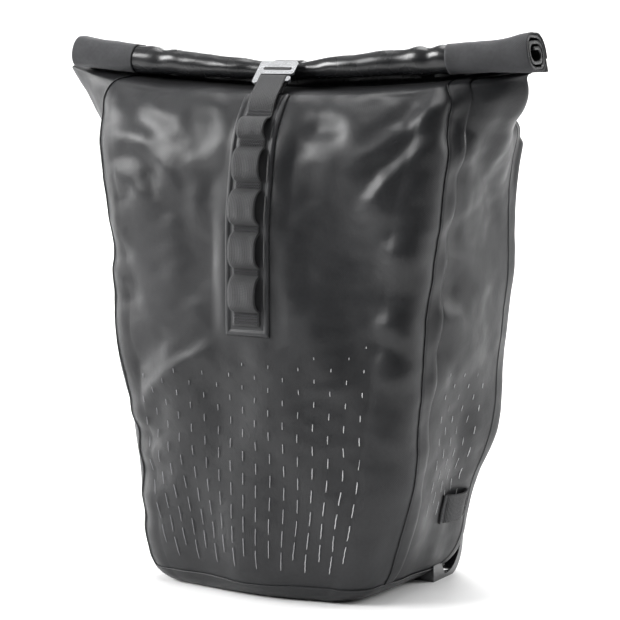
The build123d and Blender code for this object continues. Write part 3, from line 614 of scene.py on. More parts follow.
# --- right side panel: scallops beside the seam and soft cross folds ---
for z0, dy, dd, ww in ((392, 26, -3.2, 8), (374, 34, 2.4, 9), (352, 30, -3.4, 8), (330, 36, 2.6, 9), (306, 32, -3.6, 8),
                       (284, 40, 2.4, 9), (262, 34, -3.0, 8), (238, 42, 2.6, 10), (212, 30, -3.4, 8), (188, 36, 2.4, 9),
                       (160, 28, -2.2, 9), (132, 34, 1.8, 10), (104, 30, -2.0, 9), (76, 34, 1.8, 9)):
    xh = 111 + (z0 - 45) * 36 / 259
    crease([(xh, -48, z0), (xh + 2, -48 + dy * 0.5, z0 - 5), (xh + 3, -48 + dy, z0 - 3)], ww, dd, 0.35)
    crease([(-xh - 4, -48, z0 - 9), (-xh - 4, -48 + dy * 0.55, z0 - 13), (-xh - 4, -48 + dy, z0 - 9)], ww, dd * 0.9, 0.35)
crease([(168, -30, 372), (160, 0, 352), (154, 30, 318), (150, 48, 280)], 12, -3.4, 0.3)
crease([(172, 0, 388), (162, 26, 366), (156, 46, 338)], 10, 3.0, 0.3)
crease([(146, -20, 286), (142, 8, 262), (140, 36, 246)], 11, 2.4, 0.35)
crease([(132, -20, 160), (130, 10, 142), (126, 40, 130)], 12, -2.2, 0.35)
crease([(120, 10, 100), (118, 30, 96), (120, 52, 102)], 8, -2.4, 0.35)
crease([(-168, -30, 372), (-160, 0, 352), (-154, 30, 318), (-150, 48, 280)], 12, -3.4, 0.3)
crease([(-146, -20, 286), (-142, 8, 262), (-140, 36, 246)], 11, 2.4, 0.35)
crease([(-132, -20, 160), (-130, 10, 142), (-126, 40, 130)], 12, -2.2, 0.35)
crease([(-122, -20, 90), (-120, 10, 96), (-120, 46, 84)], 10, 2.2, 0.35)

# Spread ears of the side panels under the roll's ends: a deep tuck in front and behind.
for sg in (-1, 1):
    crease([(sg * 176, -40, 424), (sg * 172, -44, 404), (sg * 166, -48, 382), (sg * 160, -50, 360)], 8, -6.5, 0.3)
    crease([(sg * 196, -26, 426), (sg * 188, -26, 400), (sg * 176, -22, 374)], 8, 3.4, 0.35)
    crease([(sg * 176, 16, 424), (sg * 172, 34, 400), (sg * 162, 50, 372)], 10, -5.0, 0.3)
    crease([(sg * 206, -12, 424), (sg * 196, -6, 396), (sg * 178, 4, 366), (sg * 164, 8, 336)], 7, 3.0, 0.3)
# Back: folds on the slope above the board.
for bx, bd in ((-124, 2.8), (-92, -2.4), (-58, 2.2), (50, -2.0), (84, 2.6), (120, -2.6)):
    crease([(bx, 70, 378), (bx * 1.04, 44, 394), (bx * 1.08, 18, 407)], 10, bd, 0.3)

# Coated cloth doesn't crease sharply: the folds are eased before they are used.
for _ in range(6):
    disp[1:-1] = 0.5 * disp[1:-1] + 0.25 * (disp[:-2] + disp[2:])
    disp = 0.5 * disp + 0.25 * (np.roll(disp, 1, 1) + np.roll(disp, -1, 1))
n_wide = Noise(95, (1.0, 1.0, 1.4), seed=3)
n_mid = Noise(42, (1.0, 1.0, 1.3), seed=5)
n_small = Noise(17, (1.2, 1.2, 1.0), seed=9)
# The board keeps the back flat where it lies; the floor keeps the base flat.
x_, y_, z_ = base[..., 0], base[..., 1], base[..., 2]
on_board = smoothstep((y_ - 70) / 8) * smoothstep((z_ - 30) / 20) * (1 - smoothstep((z_ - 366) / 8))
on_floor = 1 - smoothstep(z_ / 16)
ladder = (1 - smoothstep((np.abs(x_) - 22) / 16)) * (y_ < 0) * smoothstep((z_ - 205) / 20) * (1 - smoothstep((z_ - 408) / 6))
strap_bed = (1 - smoothstep((np.abs(x_) - 20) / 14)) * smoothstep((y_ + 6) / 8) * smoothstep((z_ - 372) / 6)
free = (1 - on_board) * (1 - on_floor) * (1 - ladder) * (1 - strap_bed)
neck = smoothstep((z_ - (407 + 15 * (np.abs(x_) / 219) ** 2)) / 6)
disp += 1.9 * n_wide(base) + 0.45 * n_mid(base) + 0.10 * n_small(base)
disp *= free * (1 - neck * 0.85)
# The slope dips a little under each latch, which swings down as the handle lifts.
latch_bed = (smoothstep((np.abs(x_) - 46) / 12) * (1 - smoothstep((np.abs(x_) - 96) / 14))
             * smoothstep((y_ - 40) / 14) * smoothstep((z_ - 364) / 8))
disp = disp * (1 - latch_bed) - 1.8 * latch_bed
surface = base + N0 * disp[..., None]
NS0 = normals(surface, wrap=True)

# ---------------------------------------------------------------- panels
TRAY = int(np.argmin(np.abs(row[:, 0] - 10.5)))        # rows below this belong to the base tray
FL = 9                                                 # seam flange, columns over the side panels


def rolled(A, shift):
    return np.roll(A, shift, axis=1)


# Front panel with its flanges, lying over the side panels. The left seam shows on the
# front of the corner, the right one behind it.
CL = 8                                                 # left seam column
SH = FL - CL
S1 = rolled(surface, SH)
N1 = rolled(NS0, SH)
ncol = i_front1 - CL + 2 * FL + 1
P = S1[TRAY - 2:, :ncol].copy()
Nn = N1[TRAY - 2:, :ncol]
cols = np.arange(ncol)
over = np.clip(np.minimum(cols / FL, (ncol - 1 - cols) / FL), 0, 1)
edge_dip = smoothstep(over / 0.25)
P += Nn * (0.55 + 0.75 * (1 - smoothstep((over - 0.9) / 0.1)) * edge_dip)[None, :, None]
front = grid_object("front_panel_cloth", P, FABRIC, 1.0)
ride(front, "bag_body", "front_panel")

# Welded seam: a fine raised line where the flange begins, both corners.
def tube(name, path, radius, mat, sides=8, flat=1.0):
    path = np.asarray(path, float)
    T = np.gradient(path, axis=0)
    T /= np.maximum(np.linalg.norm(T, axis=1, keepdims=True), 1e-9)
    ref = np.array([0.0, 0.0, 1.0]) if abs(T[0, 2]) < 0.9 else np.array([1.0, 0.0, 0.0])
    U = np.cross(T, ref)
    U /= np.linalg.norm(U, axis=1, keepdims=True)
    W = np.cross(T, U)
    a = np.linspace(0, 2 * math.pi, sides, endpoint=False)
    r = np.asarray(radius, float) * np.ones(len(path))
    V = path[:, None, :] + r[:, None, None] * (np.cos(a)[None, :, None] * U[:, None, :]
                                               + flat * np.sin(a)[None, :, None] * W[:, None, :])
    F = grid_faces(len(path), sides, wrap_n=True).tolist()
    F.append(list(range(sides))[::-1])
    k = (len(path) - 1) * sides
    F.append([k + i for i in range(sides)])
    uv = np.stack([np.tile(a * 0.001, len(path)), np.repeat(np.linspace(0, 0.001 * len(path), len(path)), sides)], 1)
    return V.reshape(-1, 3), F, uv


def seam_line(cols_index, lift_mm, r):
    path = surface[TRAY:NV - 6, cols_index % NS] + NS0[TRAY:NV - 6, cols_index % NS] * lift_mm
    return tube("seam", path, r, FABRIC, 6)


parts = [seam_line(CL, 1.2, 0.55), seam_line(i_front1, 1.2, 0.55)]
V = [p[0] for p in parts]
seams = mesh_object("corner_seams", np.vstack(V),
                    parts[0][1] + [[i + len(V[0]) for i in f] for f in parts[1][1]],
                    FABRIC, np.vstack([p[2] for p in parts]))
ride(seams, "bag_body")

for nm, a, b in (("gusset_right", i_front1 - 3, i_side_r1 + 3), ("gusset_left", i_side_l0 - 3, NS + CL + 3)):
    cc = np.arange(a, b) % NS
    G = surface[TRAY - 2:, cc]
    g = grid_object(nm + "_cloth", G, FABRIC, 1.0)
    ride(g, "bag_body", nm)

cc = np.arange(i_back0 - 6, i_back1 + 6) % NS
G = surface[TRAY - 2:, cc] + NS0[TRAY - 2:, cc] * 0.3
bk = grid_object("back_panel_cloth", G, FABRIC, 1.0)
ride(bk, "bag_body", "back_panel")

# Base tray: wraps up all round and overlaps the panels by a narrow welded edge.
rows_t = surface[:TRAY + 4]
lift_t = 1.5 * smoothstep(np.linspace(0, 1, TRAY + 4) / 0.35)
T = rows_t + NS0[:TRAY + 4] * lift_t[:, None, None]
T = np.concatenate([T, T[:, :1]], axis=1)
rings = [T[0] * np.array([s, s, 1]) + np.array([0, 5 * (1 - s), 0]) for s in np.linspace(0.02, 0.97, 24)]
T = np.concatenate([np.array(rings), T], axis=0)
T[:, :, 2] = np.maximum(T[:, :, 2], 0.05)
T[:24, :, 2] = 0.35 + 0.25 * np.abs(n_mid(T[:24]))
base_cloth = grid_object("base_cloth", T, FABRIC, 0.9)
ride(base_cloth, "bag_body", "base_panel")


# ---------------------------------------------------------------- sampling the finished surface
front_cols = np.arange(0, i_front1 + 1)
centre_col = int(np.argmin(np.abs(surface[NV // 2, front_cols, 0])))
zc_rows = surface[:, centre_col, 2].copy()
ok_rows = int(np.argmax(zc_rows > 408.5)) or NV - 1


def front_at(x, z, lift=0.0):
    """Points on the front at these x and z, raised by lift along the surface's own normal."""
    x, z, lift = np.broadcast_arrays(np.asarray(x, float), np.asarray(z, float), np.asarray(lift, float))
    out = np.zeros(x.shape + (3,))
    it = np.ndindex(x.shape)
    rows_i = np.arange(ok_rows)
    for k in it:
        jf = np.interp(z[k], zc_rows[:ok_rows], rows_i)
        for _ in range(2):
            j = int(min(max(jf, 0), NV - 2))
            f = jf - j
            X = surface[j, front_cols, 0]
            c = np.interp(x[k], X, front_cols)
            i = int(min(c, len(front_cols) - 2))
            g = c - i
            P = ((1 - f) * ((1 - g) * surface[j, i] + g * surface[j, i + 1])
                 + f * ((1 - g) * surface[j + 1, i] + g * surface[j + 1, i + 1]))
            dz = surface[j + 1, i, 2] - surface[j, i, 2]
            if abs(dz) > 0.05:
                jf = min(max(jf + (z[k] - P[2]) / dz, 0), NV - 2)
        n = NS0[j, i]
        out[k] = P + n * lift[k]
    return out


side_cols = np.arange(i_front1, i_side_r1)
SR = surface[:, side_cols].reshape(-1, 3)
SRn = NS0[:, side_cols].reshape(-1, 3)


def side_at(y, z, lift=0.0):
    y, z, lift = np.broadcast_arrays(np.asarray(y, float), np.asarray(z, float), np.asarray(lift, float))
    out = np.zeros(y.shape + (3,))
    for k in np.ndindex(y.shape):
        d = (SR[:, 1] - y[k]) ** 2 + (SR[:, 2] - z[k]) ** 2
        i = np.argpartition(d, 4)[:4]
        w = 1 / (d[i] + 1e-3)
        w /= w.sum()
        out[k] = (SR[i] * w[:, None]).sum(0) + (SRn[i] * w[:, None]).sum(0) * lift[k]
    return out


# ---------------------------------------------------------------- ladder backing
xb = np.concatenate([np.linspace(-20.5, -13.5, 15), np.linspace(-12, 12, 9), np.linspace(13.5, 20.5, 15)])
zb = np.concatenate([np.linspace(217.5, 225, 15), np.linspace(226, 408, 170)])
ZB, XB = np.meshgrid(zb, xb, indexing="ij")
e = np.minimum(20.5 - np.abs(XB), ZB - 217.5)
prof = np.interp(e, [0, 0.5, 1.2, 2.2, 3.6, 4.8, 5.6, 6.4, 7.0], [0.3, 1.5, 2.15, 2.4, 2.3, 1.5, 1.15, 1.45, 1.5])
back_P = front_at(XB, ZB, prof + 0.45)
ladder_back = grid_object("ladder_backing_cloth", back_P, FABRIC_STRIP, 0.9)
ride(ladder_back, "bag_body", "ladder_backing")

FACETS = [((-94, 218), (-94, 304)), ((-94, 304), (-85, 371)), ((-85, 371), (-64, 410))]


def on_facet(i, s, n):
    (y0, z0), (y1, z1) = FACETS[i]
    d = math.hypot(y1 - y0, z1 - z0)
    u = ((y1 - y0) / d, (z1 - z0) / d)
    return (y0 + s * u[0] - n * u[1], z0 + s * u[1] + n * u[0])


# ---------------------------------------------------------------- ladder webbing
tack_z = [234.0, 269.5, 304.0, 338.0, 371.0, 393.5]
path = []                                              # (z, lift, slack)
path += [(z, 3.3, 0) for z in np.linspace(226, 237, 5)]
loop_h = [8.3, 7.6, 8.8, 7.9, 7.2]
for k, (za, zb_) in enumerate(zip(tack_z, tack_z[1:])):
    lo, hi = za + 3.2, zb_ - 3.2
    for t in np.linspace(0, 1, 19)[1:-1]:
        h = loop_h[k] * (1 - abs(2 * t - 1) ** 2.7) ** 0.62
        # A loaded loop sags: its belly hangs a little below the middle.
        path.append((lo + (hi - lo) * t - 0.9 * math.sin(math.pi * t), 3.3 + h, math.sin(math.pi * t)))
    path += [(z, 3.3, 0) for z in np.linspace(hi + 0.4, min(hi + 6.0, 397.0), 5)]
path = np.array(path)
xw = np.linspace(-12.5, 12.5, 15)
Zp, Xp = np.meshgrid(path[:, 0], xw, indexing="ij")
Lp = np.repeat(path[:, 1:2], len(xw), 1)
Sp = np.repeat(path[:, 2:3], len(xw), 1)
Lp = Lp + Sp * (0.5 * (Xp / 12.5) + 0.25 * np.sin(Xp * 0.5 + Zp * 0.07))
Lp = Lp - 0.35 * np.clip((np.abs(Xp) - 11.2) / 1.3, 0, 1)
web_P = front_at(Xp, Zp, Lp)
# The top loop, pulled up straight and round the hook's tongue.
HOOK_Y, HOOK_Z, HSQ = -39.33, 434.13, math.sqrt(0.5)


def on_hook(s, n):
    """A point s down the hook's plane and n in front of it (y, z)."""
    return (HOOK_Y - HSQ * (s + n), HOOK_Z - HSQ * (s - n))


def catmull(points, n=6):
    P_ = np.asarray(points, float)
    Q = np.vstack([2 * P_[0] - P_[1], P_, 2 * P_[-1] - P_[-2]])
    out = []
    for i in range(1, len(Q) - 2):
        for t in np.linspace(0, 1, n, endpoint=False):
            out.append(0.5 * ((2 * Q[i]) + (Q[i + 1] - Q[i - 1]) * t
                       + (2 * Q[i - 1] - 5 * Q[i] + 4 * Q[i + 1] - Q[i + 2]) * t * t
                       + (3 * Q[i] - Q[i - 1] - 3 * Q[i + 1] + Q[i + 2]) * t ** 3))
    out.append(P_[-1])
    return np.array(out)


y_end, z_end = web_P[-1, 7, 1], web_P[-1, 7, 2]
knots = [(y_end, z_end), (y_end + 0.4, z_end + 2.6), (y_end + 1.6, z_end + 6.4), (-68.6, 408.6), (-62.8, 414.6),
         on_hook(24, 2.9), on_hook(18.5, 3.0), on_hook(16.0, 2.7), on_hook(14.9, 1.2), on_hook(14.8, -0.6),
         on_hook(15.8, -1.7), on_hook(19, -2.0), on_hook(23, -2.2), (-56.5, 413.6), (-59.0, 410.0)]
top = catmull(knots, 6)[1:]
top_P = np.stack([np.repeat(xw[None, :] + 0.6, len(top), 0), np.repeat(top[:, :1], len(xw), 1),
                  np.repeat(top[:, 1:], len(xw), 1)], -1)
ease = smoothstep(np.arange(len(top)) / 12.0)[:, None]
top_P[:, :, 1] += (web_P[-1, :, 1] - y_end)[None, :] * (1 - ease)
top_P[:, :, 2] += (web_P[-1, :, 2] - z_end)[None, :] * (1 - ease)
top_P[:, :, 0] += (web_P[-1, :, 0] - xw - 0.6)[None, :] * (1 - ease)
# The free run bows across its width a little.
bow = np.exp(-((np.arange(len(top)) - 20) / 12.0) ** 2)[:, None] * (1 - (xw[None, :] / 12.5) ** 2)
top_P[:, :, 1] -= 0.5 * bow
web_P = np.concatenate([web_P, top_P], 0)
ladder_web = grid_object("ladder_webbing_cloth", web_P, WEB, 1.3)
ride(ladder_web, "bag_body", "ladder_webbing")


# ---------------------------------------------------------------- stitches
def capsule(a, b, r):
    a, b = np.asarray(a, float), np.asarray(b, float)
    t = np.linspace(0, 1, 6)
    path_ = a + (b - a) * t[:, None]
    rad = r * np.array([0.35, 0.85, 1, 1, 0.85, 0.35])
    return tube("s", path_, rad, None, 6)


def stitch_object(name, segments, r, mat, body):
    if not segments:
        return None
    V, F, U, k = [], [], [], 0
    for a, b in segments:
        v, f, u = capsule(a, b, r)
        V.append(v)
        F += [[i + k for i in face] for face in f]
        U.append(u)
        k += len(v)
    ob = mesh_object(name, np.vstack(V), F, mat, np.vstack(U))
    return ride(ob, body)


segs = []
for zt in tack_z + [229.5]:
    xs = np.linspace(-11, 11, 21)
    for sgn, dz in ((1, 1.15), (-1, -1.15)):
        for i, x in enumerate(xs[:-1]):
            up = 1.0 if i % 2 else -1.0
            a, b = front_at(np.array([x, x + 1.1]), np.array([zt + dz - up, zt + dz + up]), 3.55)
            segs.append((a, b))
stitch_object("bar_tacks", segs, 0.30, THREAD, "bag_body")

# ---------------------------------------------------------------- reflective dashes
V, F, U, k = [], [], [], 0


def hw_at(z):
    return np.interp(z, surface[:, i_front1, 2][:ok_rows], surface[:, i_front1, 0][:ok_rows])


def add_dash(points_fn, length, width):
    """A thin printed stroke laid on the surface."""
    global k
    n = max(3, int(length / 2.0) + 2)
    rows_ = []
    for t in np.linspace(-0.5, 0.5, n):
        w = width * (1.0 if abs(t) < 0.42 else 0.72)
        rows_.append([points_fn(-w / 2, t * length), points_fn(w / 2, t * length)])
    P_ = np.array(rows_)
    m = len(P_)
    V.append(P_.reshape(-1, 3))
    F.extend([[c + k for c in f] for f in grid_faces(m, 2).tolist()])
    U.append(np.zeros((2 * m, 2)))
    k += 2 * m


for c in range(17):
    u = 0.745 - c * 0.0985
    for r_ in range(11):
        z = 213 - r_ * 26.6 * 0.5 * 2 / 1.42 - (0 if c % 2 == 0 else 9.4)
        depth_ = (213 - z) / 185.0
        if z < 30 or z > 216:
            continue
        # The field is shallower on the left: its top edge steps down.
        if z > 214 - c * 2.2:
            continue
        L_ = 1.6 + 14.5 * min(1.0, max(0.0, depth_)) ** 1.15
        Wd = 0.75 if c < 4 else 0.65

        def fn(dx, dz, u=u, z=z):
            zz = z + dz
            xx = u * hw_at(zz) * 0.985 + dx
            return front_at(np.array(xx), np.array(zz), 1.66)
        add_dash(fn, L_, Wd)
for c in range(6):
    y0 = -18 + c * 11.0
    for r_ in range(9):
        z = 186 - r_ * 18.8 - (0 if c % 2 == 0 else 9.4) - c * 1.5
        if z < 66:
            continue
        L_ = 2.2 + 10.0 * ((190 - z) / 130.0)

        def fn(dy, dz, y0=y0, z=z):
            return side_at(np.array(y0 + dy), np.array(z + dz), 0.35)
        add_dash(fn, L_, 0.6)
dashes = mesh_object("reflective_dashes", np.vstack(V), F, PRINT, np.vstack(U))
mod = dashes.modifiers.new("print", "SOLIDIFY")
mod.thickness = 0.12 * MM
mod.offset = 0
apply_modifiers(dashes)
ride(dashes, "bag_body")

# ---------------------------------------------------------------- rolled mouth
ROLL_R0, STEP, SHEET = 9.5, 0.8, 1.8
RB = -12.0 - ROLL_R0
RF = RB - 8.0
RZ, RHALF, RRISE = 423.5, 220.0, 19.0
RRAD = (RHALF ** 2 + RRISE ** 2) / (2 * RRISE)


def arc_pts(cx, cy, r, a0, a1, n):
    a = np.linspace(a0, a1, n)
    return np.stack([cx + r * np.cos(a), cy + r * np.sin(a)], 1)


def coil_line():
    d = STEP
    r0 = ROLL_R0
    r1, r2, r3, r4 = r0 - d, r0 - 3 * d, r0 - 5 * d, r0 - 7 * d
    pi = math.pi
    p = [np.array([(RB + r0, -14.0), (RB + r0, -10.0), (RB + r0, -6.0), (RB + r0, -3.0)])]
    p.append(arc_pts(RB, 0, r0, 0, pi / 2, 12))
    p.append(np.stack([np.linspace(RB - 2.5, RF + 2.5, 5), np.full(5, r0)], 1))
    p.append(arc_pts(RF, d, r1, pi / 2, 3 * pi / 2, 22))
    p.append(np.stack([np.linspace(RF + 2.5, RB - 2.5, 5), np.full(5, d - r1)], 1))
    p.append(arc_pts(RB, -d, r2, -pi / 2, pi / 2, 18))
    p.append(np.stack([np.linspace(RB - 2.5, RF + 2.5, 5), np.full(5, -d + r2)], 1))
    p.append(arc_pts(RF, d, r3, pi / 2, 3 * pi / 2, 15))
    p.append(np.stack([np.linspace(RF + 2.5, RB - 2.5, 5), np.full(5, d - r3)], 1))
    p.append(arc_pts(RB, -d, r4, -pi / 2, pi / 2, 11))
    p.append(np.stack([np.linspace(RB - 2.5, RF + 2.0, 5), np.full(5, -d + r4)], 1))
    return np.vstack(p)


coil = coil_line()
T_ = np.gradient(coil, axis=0)
T_ /= np.linalg.norm(T_, axis=1, keepdims=True)
coil_n = np.stack([T_[:, 1], -T_[:, 0]], 1)
# Make the normal point away from the coil's middle.
mid_c = np.array([(RB + RF) / 2, 0])
sgn = np.sign(((coil - mid_c) * coil_n)[6:60].sum())
coil_n *= sgn if sgn else 1
n_roll = Noise(30, (1.6, 1, 1), seed=21)
n_roll2 = Noise(11, (1.8, 1, 1), seed=22)


def roll_scale(x):
    ax = np.abs(x)
    v = 0.74 + 0.20 * smoothstep((ax - 12) / 34) + 0.22 * smoothstep((ax - 40) / 90)
    h = 0.80 + 0.14 * smoothstep((ax - 14) / 50) + 0.10 * smoothstep((ax - 120) / 80)
    # The ends spring open a little, the right one more.
    v = v + np.where(x > 0, 0.30, 0.10) * smoothstep((ax - 180) / 40)
    h = h + np.where(x > 0, 0.12, 0.0) * smoothstep((ax - 196) / 24)
    return v, h


def roll_lift(x):
    """How far the roll's middle line stands above a plain arc, mm."""
    t = min(1.0, abs(x) / 220)
    return (6.8 if x > 0 else 4.6) * math.sin(math.pi * t ** 0.78)


def roll_points(x, line, lift=0.0):
    """line: (n,2) in the coil's own section; returns points at station x."""
    th = math.asin(x / RRAD)
    cz = RZ + RRAD - RRAD * math.cos(th) + roll_lift(x)
    up = np.array([-math.sin(th), 0, math.cos(th)])
    v, h = roll_scale(np.array(x, float))
    cy = (RB + RF) / 2
    q = line.copy()
    q[:, 0] = cy + (q[:, 0] - cy) * h
    tail = q[:, 1] < -RF * 0 - 10.6
    q[:, 1] = np.where(tail, np.maximum(q[:, 1], -14 + 11 * smoothstep((abs(x) - 190) / 18)), q[:, 1] * v)
    q[:, 1] += 1.2 * (1 - smoothstep((abs(x) - 20) / 60))
    P_ = np.zeros((len(q), 3))
    P_[:, 0] = x + up[0] * q[:, 1]
    P_[:, 1] = q[:, 0]
    P_[:, 2] = cz + up[2] * q[:, 1]
    return P_


ROLL_LEFT = -206.5
stations = np.linspace(ROLL_LEFT, RHALF, 300)


def dents(x):
    """Dips and puffs along the roll, mm, for the outer turn."""
    out = 0.0
    for c, w, a in ((-118, 7, -2.2), (-106, 8, 1.6), (-132, 9, 1.2), (-60, 16, -1.0), (-34, 8, -1.6), (34, 8, -1.6),
                    (70, 14, 0.8), (104, 10, -1.4), (121, 7, 1.8), (133, 6, -2.4), (144, 7, 1.6), (156, 7, -1.6)):
        out = out + a * np.exp(-((x - c) / w) ** 2)
    return out


def coil_mesh(name, line, nrm, stations_, half, mat, lift=0.0, amp=1.0, outer=None):
    n = len(line)
    rings_ = []
    ang = np.linspace(0, 1, n)
    for x in stations_:
        base_line = roll_points(x, line)
        wob = (0.55 * n_roll(base_line) + 0.22 * n_roll2(base_line)) * amp
        print_painted_light = 0.35 + 0.65 * np.clip(1 - ang * 1.3, 0, 1)
        bump_ = (wob + dents(x) * (0.6 + 0.6 * np.sin(ang * 9 + x * 0.05)) * amp * smoothstep((180 - abs(x)) / 20)) * print_painted_light
        a_ = roll_points(x, line + nrm * (lift + half + bump_ * 0.55)[:, None] if np.ndim(bump_) else line + nrm * (lift + half))
        b_ = roll_points(x, line + nrm * (lift - half + bump_ * 0.55)[:, None] if np.ndim(bump_) else line + nrm * (lift - half))
        rings_.append(np.vstack([a_, b_[::-1]]))
    R_ = np.array(rings_)
    m, q = R_.shape[:2]
    faces = grid_faces(m, q, wrap_n=True).tolist()
    # End caps, strip by strip so that they follow the spiral.
    for base_i, rev in ((0, False), ((m - 1) * q, True)):
        for i in range(n - 1):
            f = [base_i + i, base_i + i + 1, base_i + q - 2 - i, base_i + q - 1 - i]
            faces.append(f if rev else f[::-1])
    uv = arc_uv(R_)
    return mesh_object(name, R_.reshape(-1, 3), faces, mat, uv.reshape(-1, 2))


roll = coil_mesh("rolled_mouth_cloth", coil, coil_n, stations, SHEET / 2, FABRIC_SHINY)
ride(roll, "bag_body", "roll_closure")

# Matte reinforcement wrapped round each end.
i0, i1 = 3, 54
for nm, xa, xb_ in (("roll_patch_left", ROLL_LEFT - 0.6, -147.0), ("roll_patch_right", 148.0, 220.6)):
    st = np.linspace(xa, xb_, 54)
    pt = coil_mesh(nm, coil[i0:i1].copy(), coil_n[i0:i1], np.clip(st, ROLL_LEFT - 0.6, 220.6), 0.45, FABRIC_MATTE,
                   lift=SHEET / 2 + 0.5, amp=0.9)
    ride(pt, "bag_body")

# Neck welt between the bag and the roll.
W_ = []
for x in np.linspace(-203, 208, 180):
    zn = 413.5 + 17.5 * (x / 219) ** 2
    th = math.asin(x / RRAD)
    zc_ = RZ + RRAD - RRAD * math.cos(th) + roll_lift(x)
    topz = max(zn + 4.0, zc_ - 5)
    ring = np.array([(-19.5, zn - 0.6), (-16.5, zn + 1.0), (-13.6, zn + 3.4), (-13.0, topz), (-11.0, topz),
                     (-10.4, zn + 3.4), (-7.5, zn + 1.0), (-4.5, zn - 0.6)])
    wv = 0.5 * math.sin(x * 0.21) + 0.4 * math.sin(x * 0.083 + 1)
    P_ = np.zeros((len(ring), 3))
    P_[:, 0] = x
    P_[:, 1] = ring[:, 0] + wv * 0.4
    P_[:, 2] = ring[:, 1]
    W_.append(P_)
W_ = np.array(W_)
faces = grid_faces(*W_.shape[:2], wrap_n=True).tolist()
faces += [list(range(8))[::-1], [(len(W_) - 1) * 8 + i for i in range(8)]]
welt = mesh_object("neck_welt", W_.reshape(-1, 3), faces, FABRIC, arc_uv(W_).reshape(-1, 2))
ride(welt, "bag_body")


# ---------------------------------------------------------------- straps
def strap_mesh(name, line_yz, width, thickness, mat, xs_shift=None, edge=0.3):
    """A strap that runs in the Y-Z plane, width along X."""
    L = np.asarray(line_yz, float)
    T2 = np.gradient(L, axis=0)
    T2 /= np.linalg.norm(T2, axis=1, keepdims=True)
    n2 = np.stack([-T2[:, 1], T2[:, 0]], 1)
    xs = np.linspace(-width / 2, width / 2, 17)
    h = np.concatenate([np.array([0.30]), np.full(len(xs) - 2, 0.5), np.array([0.30])]) * thickness
    rings_ = []
    for i, (p, nn) in enumerate(zip(L, n2)):
        sh = 0 if xs_shift is None else xs_shift[i]
        a_ = np.array([(x + sh, p[0] + nn[0] * hh, p[1] + nn[1] * hh) for x, hh in zip(xs, h)])
        b_ = np.array([(x + sh, p[0] - nn[0] * hh, p[1] - nn[1] * hh) for x, hh in zip(xs, h)])[::-1]
        rings_.append(np.vstack([a_, b_]))
    R_ = np.array(rings_)
    m, q = R_.shape[:2]
    faces = grid_faces(m, q, wrap_n=True).tolist()
    nn_ = len(xs)
    for base_i, rev in ((0, False), ((m - 1) * q, True)):
        for i in range(nn_ - 1):
            f = [base_i + i, base_i + i + 1, base_i + q - 2 - i, base_i + q - 1 - i]
            faces.append(f if rev else f[::-1])
    s_along = np.concatenate([[0], np.cumsum(np.linalg.norm(np.diff(L, axis=0), axis=1))])
    uv = np.zeros((m, q, 2))
    uv[:, :nn_, 0] = xs
    uv[:, nn_:, 0] = xs[::-1]
    uv[:, :, 1] = s_along[:, None]
    return mesh_object(name, R_.reshape(-1, 3), faces, mat, uv.reshape(-1, 2) * MM)


ctl = [(70, 379.9), (53, 390.0), (36, 400.3), (18, 411.2), (5, 420.6), (-7, 429.6), (-14, 433.2), (-21, 435.0),
       (-28, 435.3), (-34, 434.4), on_hook(-0.6, -1.9), on_hook(2.5, -1.85), on_hook(5.2, -1.7),
       on_hook(6.6, -1.0), on_hook(7.2, 0.2), on_hook(7.3, 1.15)]
strap_line = catmull(ctl, 7)
strap = strap_mesh("closure_strap_cloth", strap_line, 25.0, 1.45, WEB_DARK)
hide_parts("closure_strap_rear", "closure_strap_front")
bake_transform(strap)

# Anchor patch under the strap's sewn end, with a stitched box.
def shelf(y):
    return 371 + (80 - y) * 39.0 / 66.0


anchor_line = catmull([(75, shelf(75) + 1.0), (62, shelf(62) + 1.2), (50, shelf(50) + 1.2), (37, shelf(37) + 1.0)], 6)
anchor = strap_mesh("strap_anchor_cloth", anchor_line, 40.0, 1.4, FABRIC_MATTE)
ride(anchor, "bag_body", "strap_anchor")


def on_strap(x, y):
    zz = np.interp(y, strap_line[:40][::-1][:, 0], strap_line[:40][::-1][:, 1])
    return np.array([x, y + 0.5 * 0.9, zz + 0.86 * 0.9])


def stitched_line(p, q, step=2.6, on=on_strap):
    p, q = np.asarray(p, float), np.asarray(q, float)
    n = max(1, int(np.linalg.norm(q - p) / step))
    out = []
    for i in range(n):
        a = p + (q - p) * (i + 0.12) / n
        b = p + (q - p) * (i + 0.88) / n
        out.append((on(*a), on(*b)))
    return out


segs = []
cs = [(-10.5, 66), (10.5, 66), (10.5, 47), (-10.5, 47)]
for a, b in ((0, 1), (1, 2), (2, 3), (3, 0), (0, 2), (1, 3)):
    segs += stitched_line(cs[a], cs[b])
stitch_object("anchor_stitches", segs, 0.32, THREAD, "bag_body")

# ---------------------------------------------------------------- light loop on the right side
tau = np.concatenate([[-21, -19, -17.2], np.linspace(-15.6, 15.6, 25), [17.2, 19, 21]])
hh_ = np.linspace(0, 24, 13)
HH, TT = np.meshgrid(hh_, tau, indexing="ij")
lift_ = np.where(np.abs(TT) < 15.6, 1.9 + 4.4 * (1 - np.clip(np.abs(TT) / 15.6, 0, 1) ** 2.3) ** 0.7, 1.9)
# The upper edge stands off a little more at the rear.
lift_ = lift_ + 0.9 * smoothstep(HH / 24) * smoothstep((TT + 4) / 14) * (np.abs(TT) < 15)
LLp = side_at(34 + TT * 0.98, 55 + HH, lift_)
ll = grid_object("light_loop_cloth", LLp, WEB, 1.2)
ride(ll, "bag_body", "light_loop")
segs = []
for sy in (-19.2, 19.2):
    for j in range(9):
        z0 = 56.5 + j * 2.5
        a, b = side_at(np.array([34 + sy * 0.98] * 2), np.array([z0, z0 + 1.8]), 2.1)
        segs.append((a, b))
stitch_object("light_loop_stitches", segs, 0.3, THREAD, "bag_body")

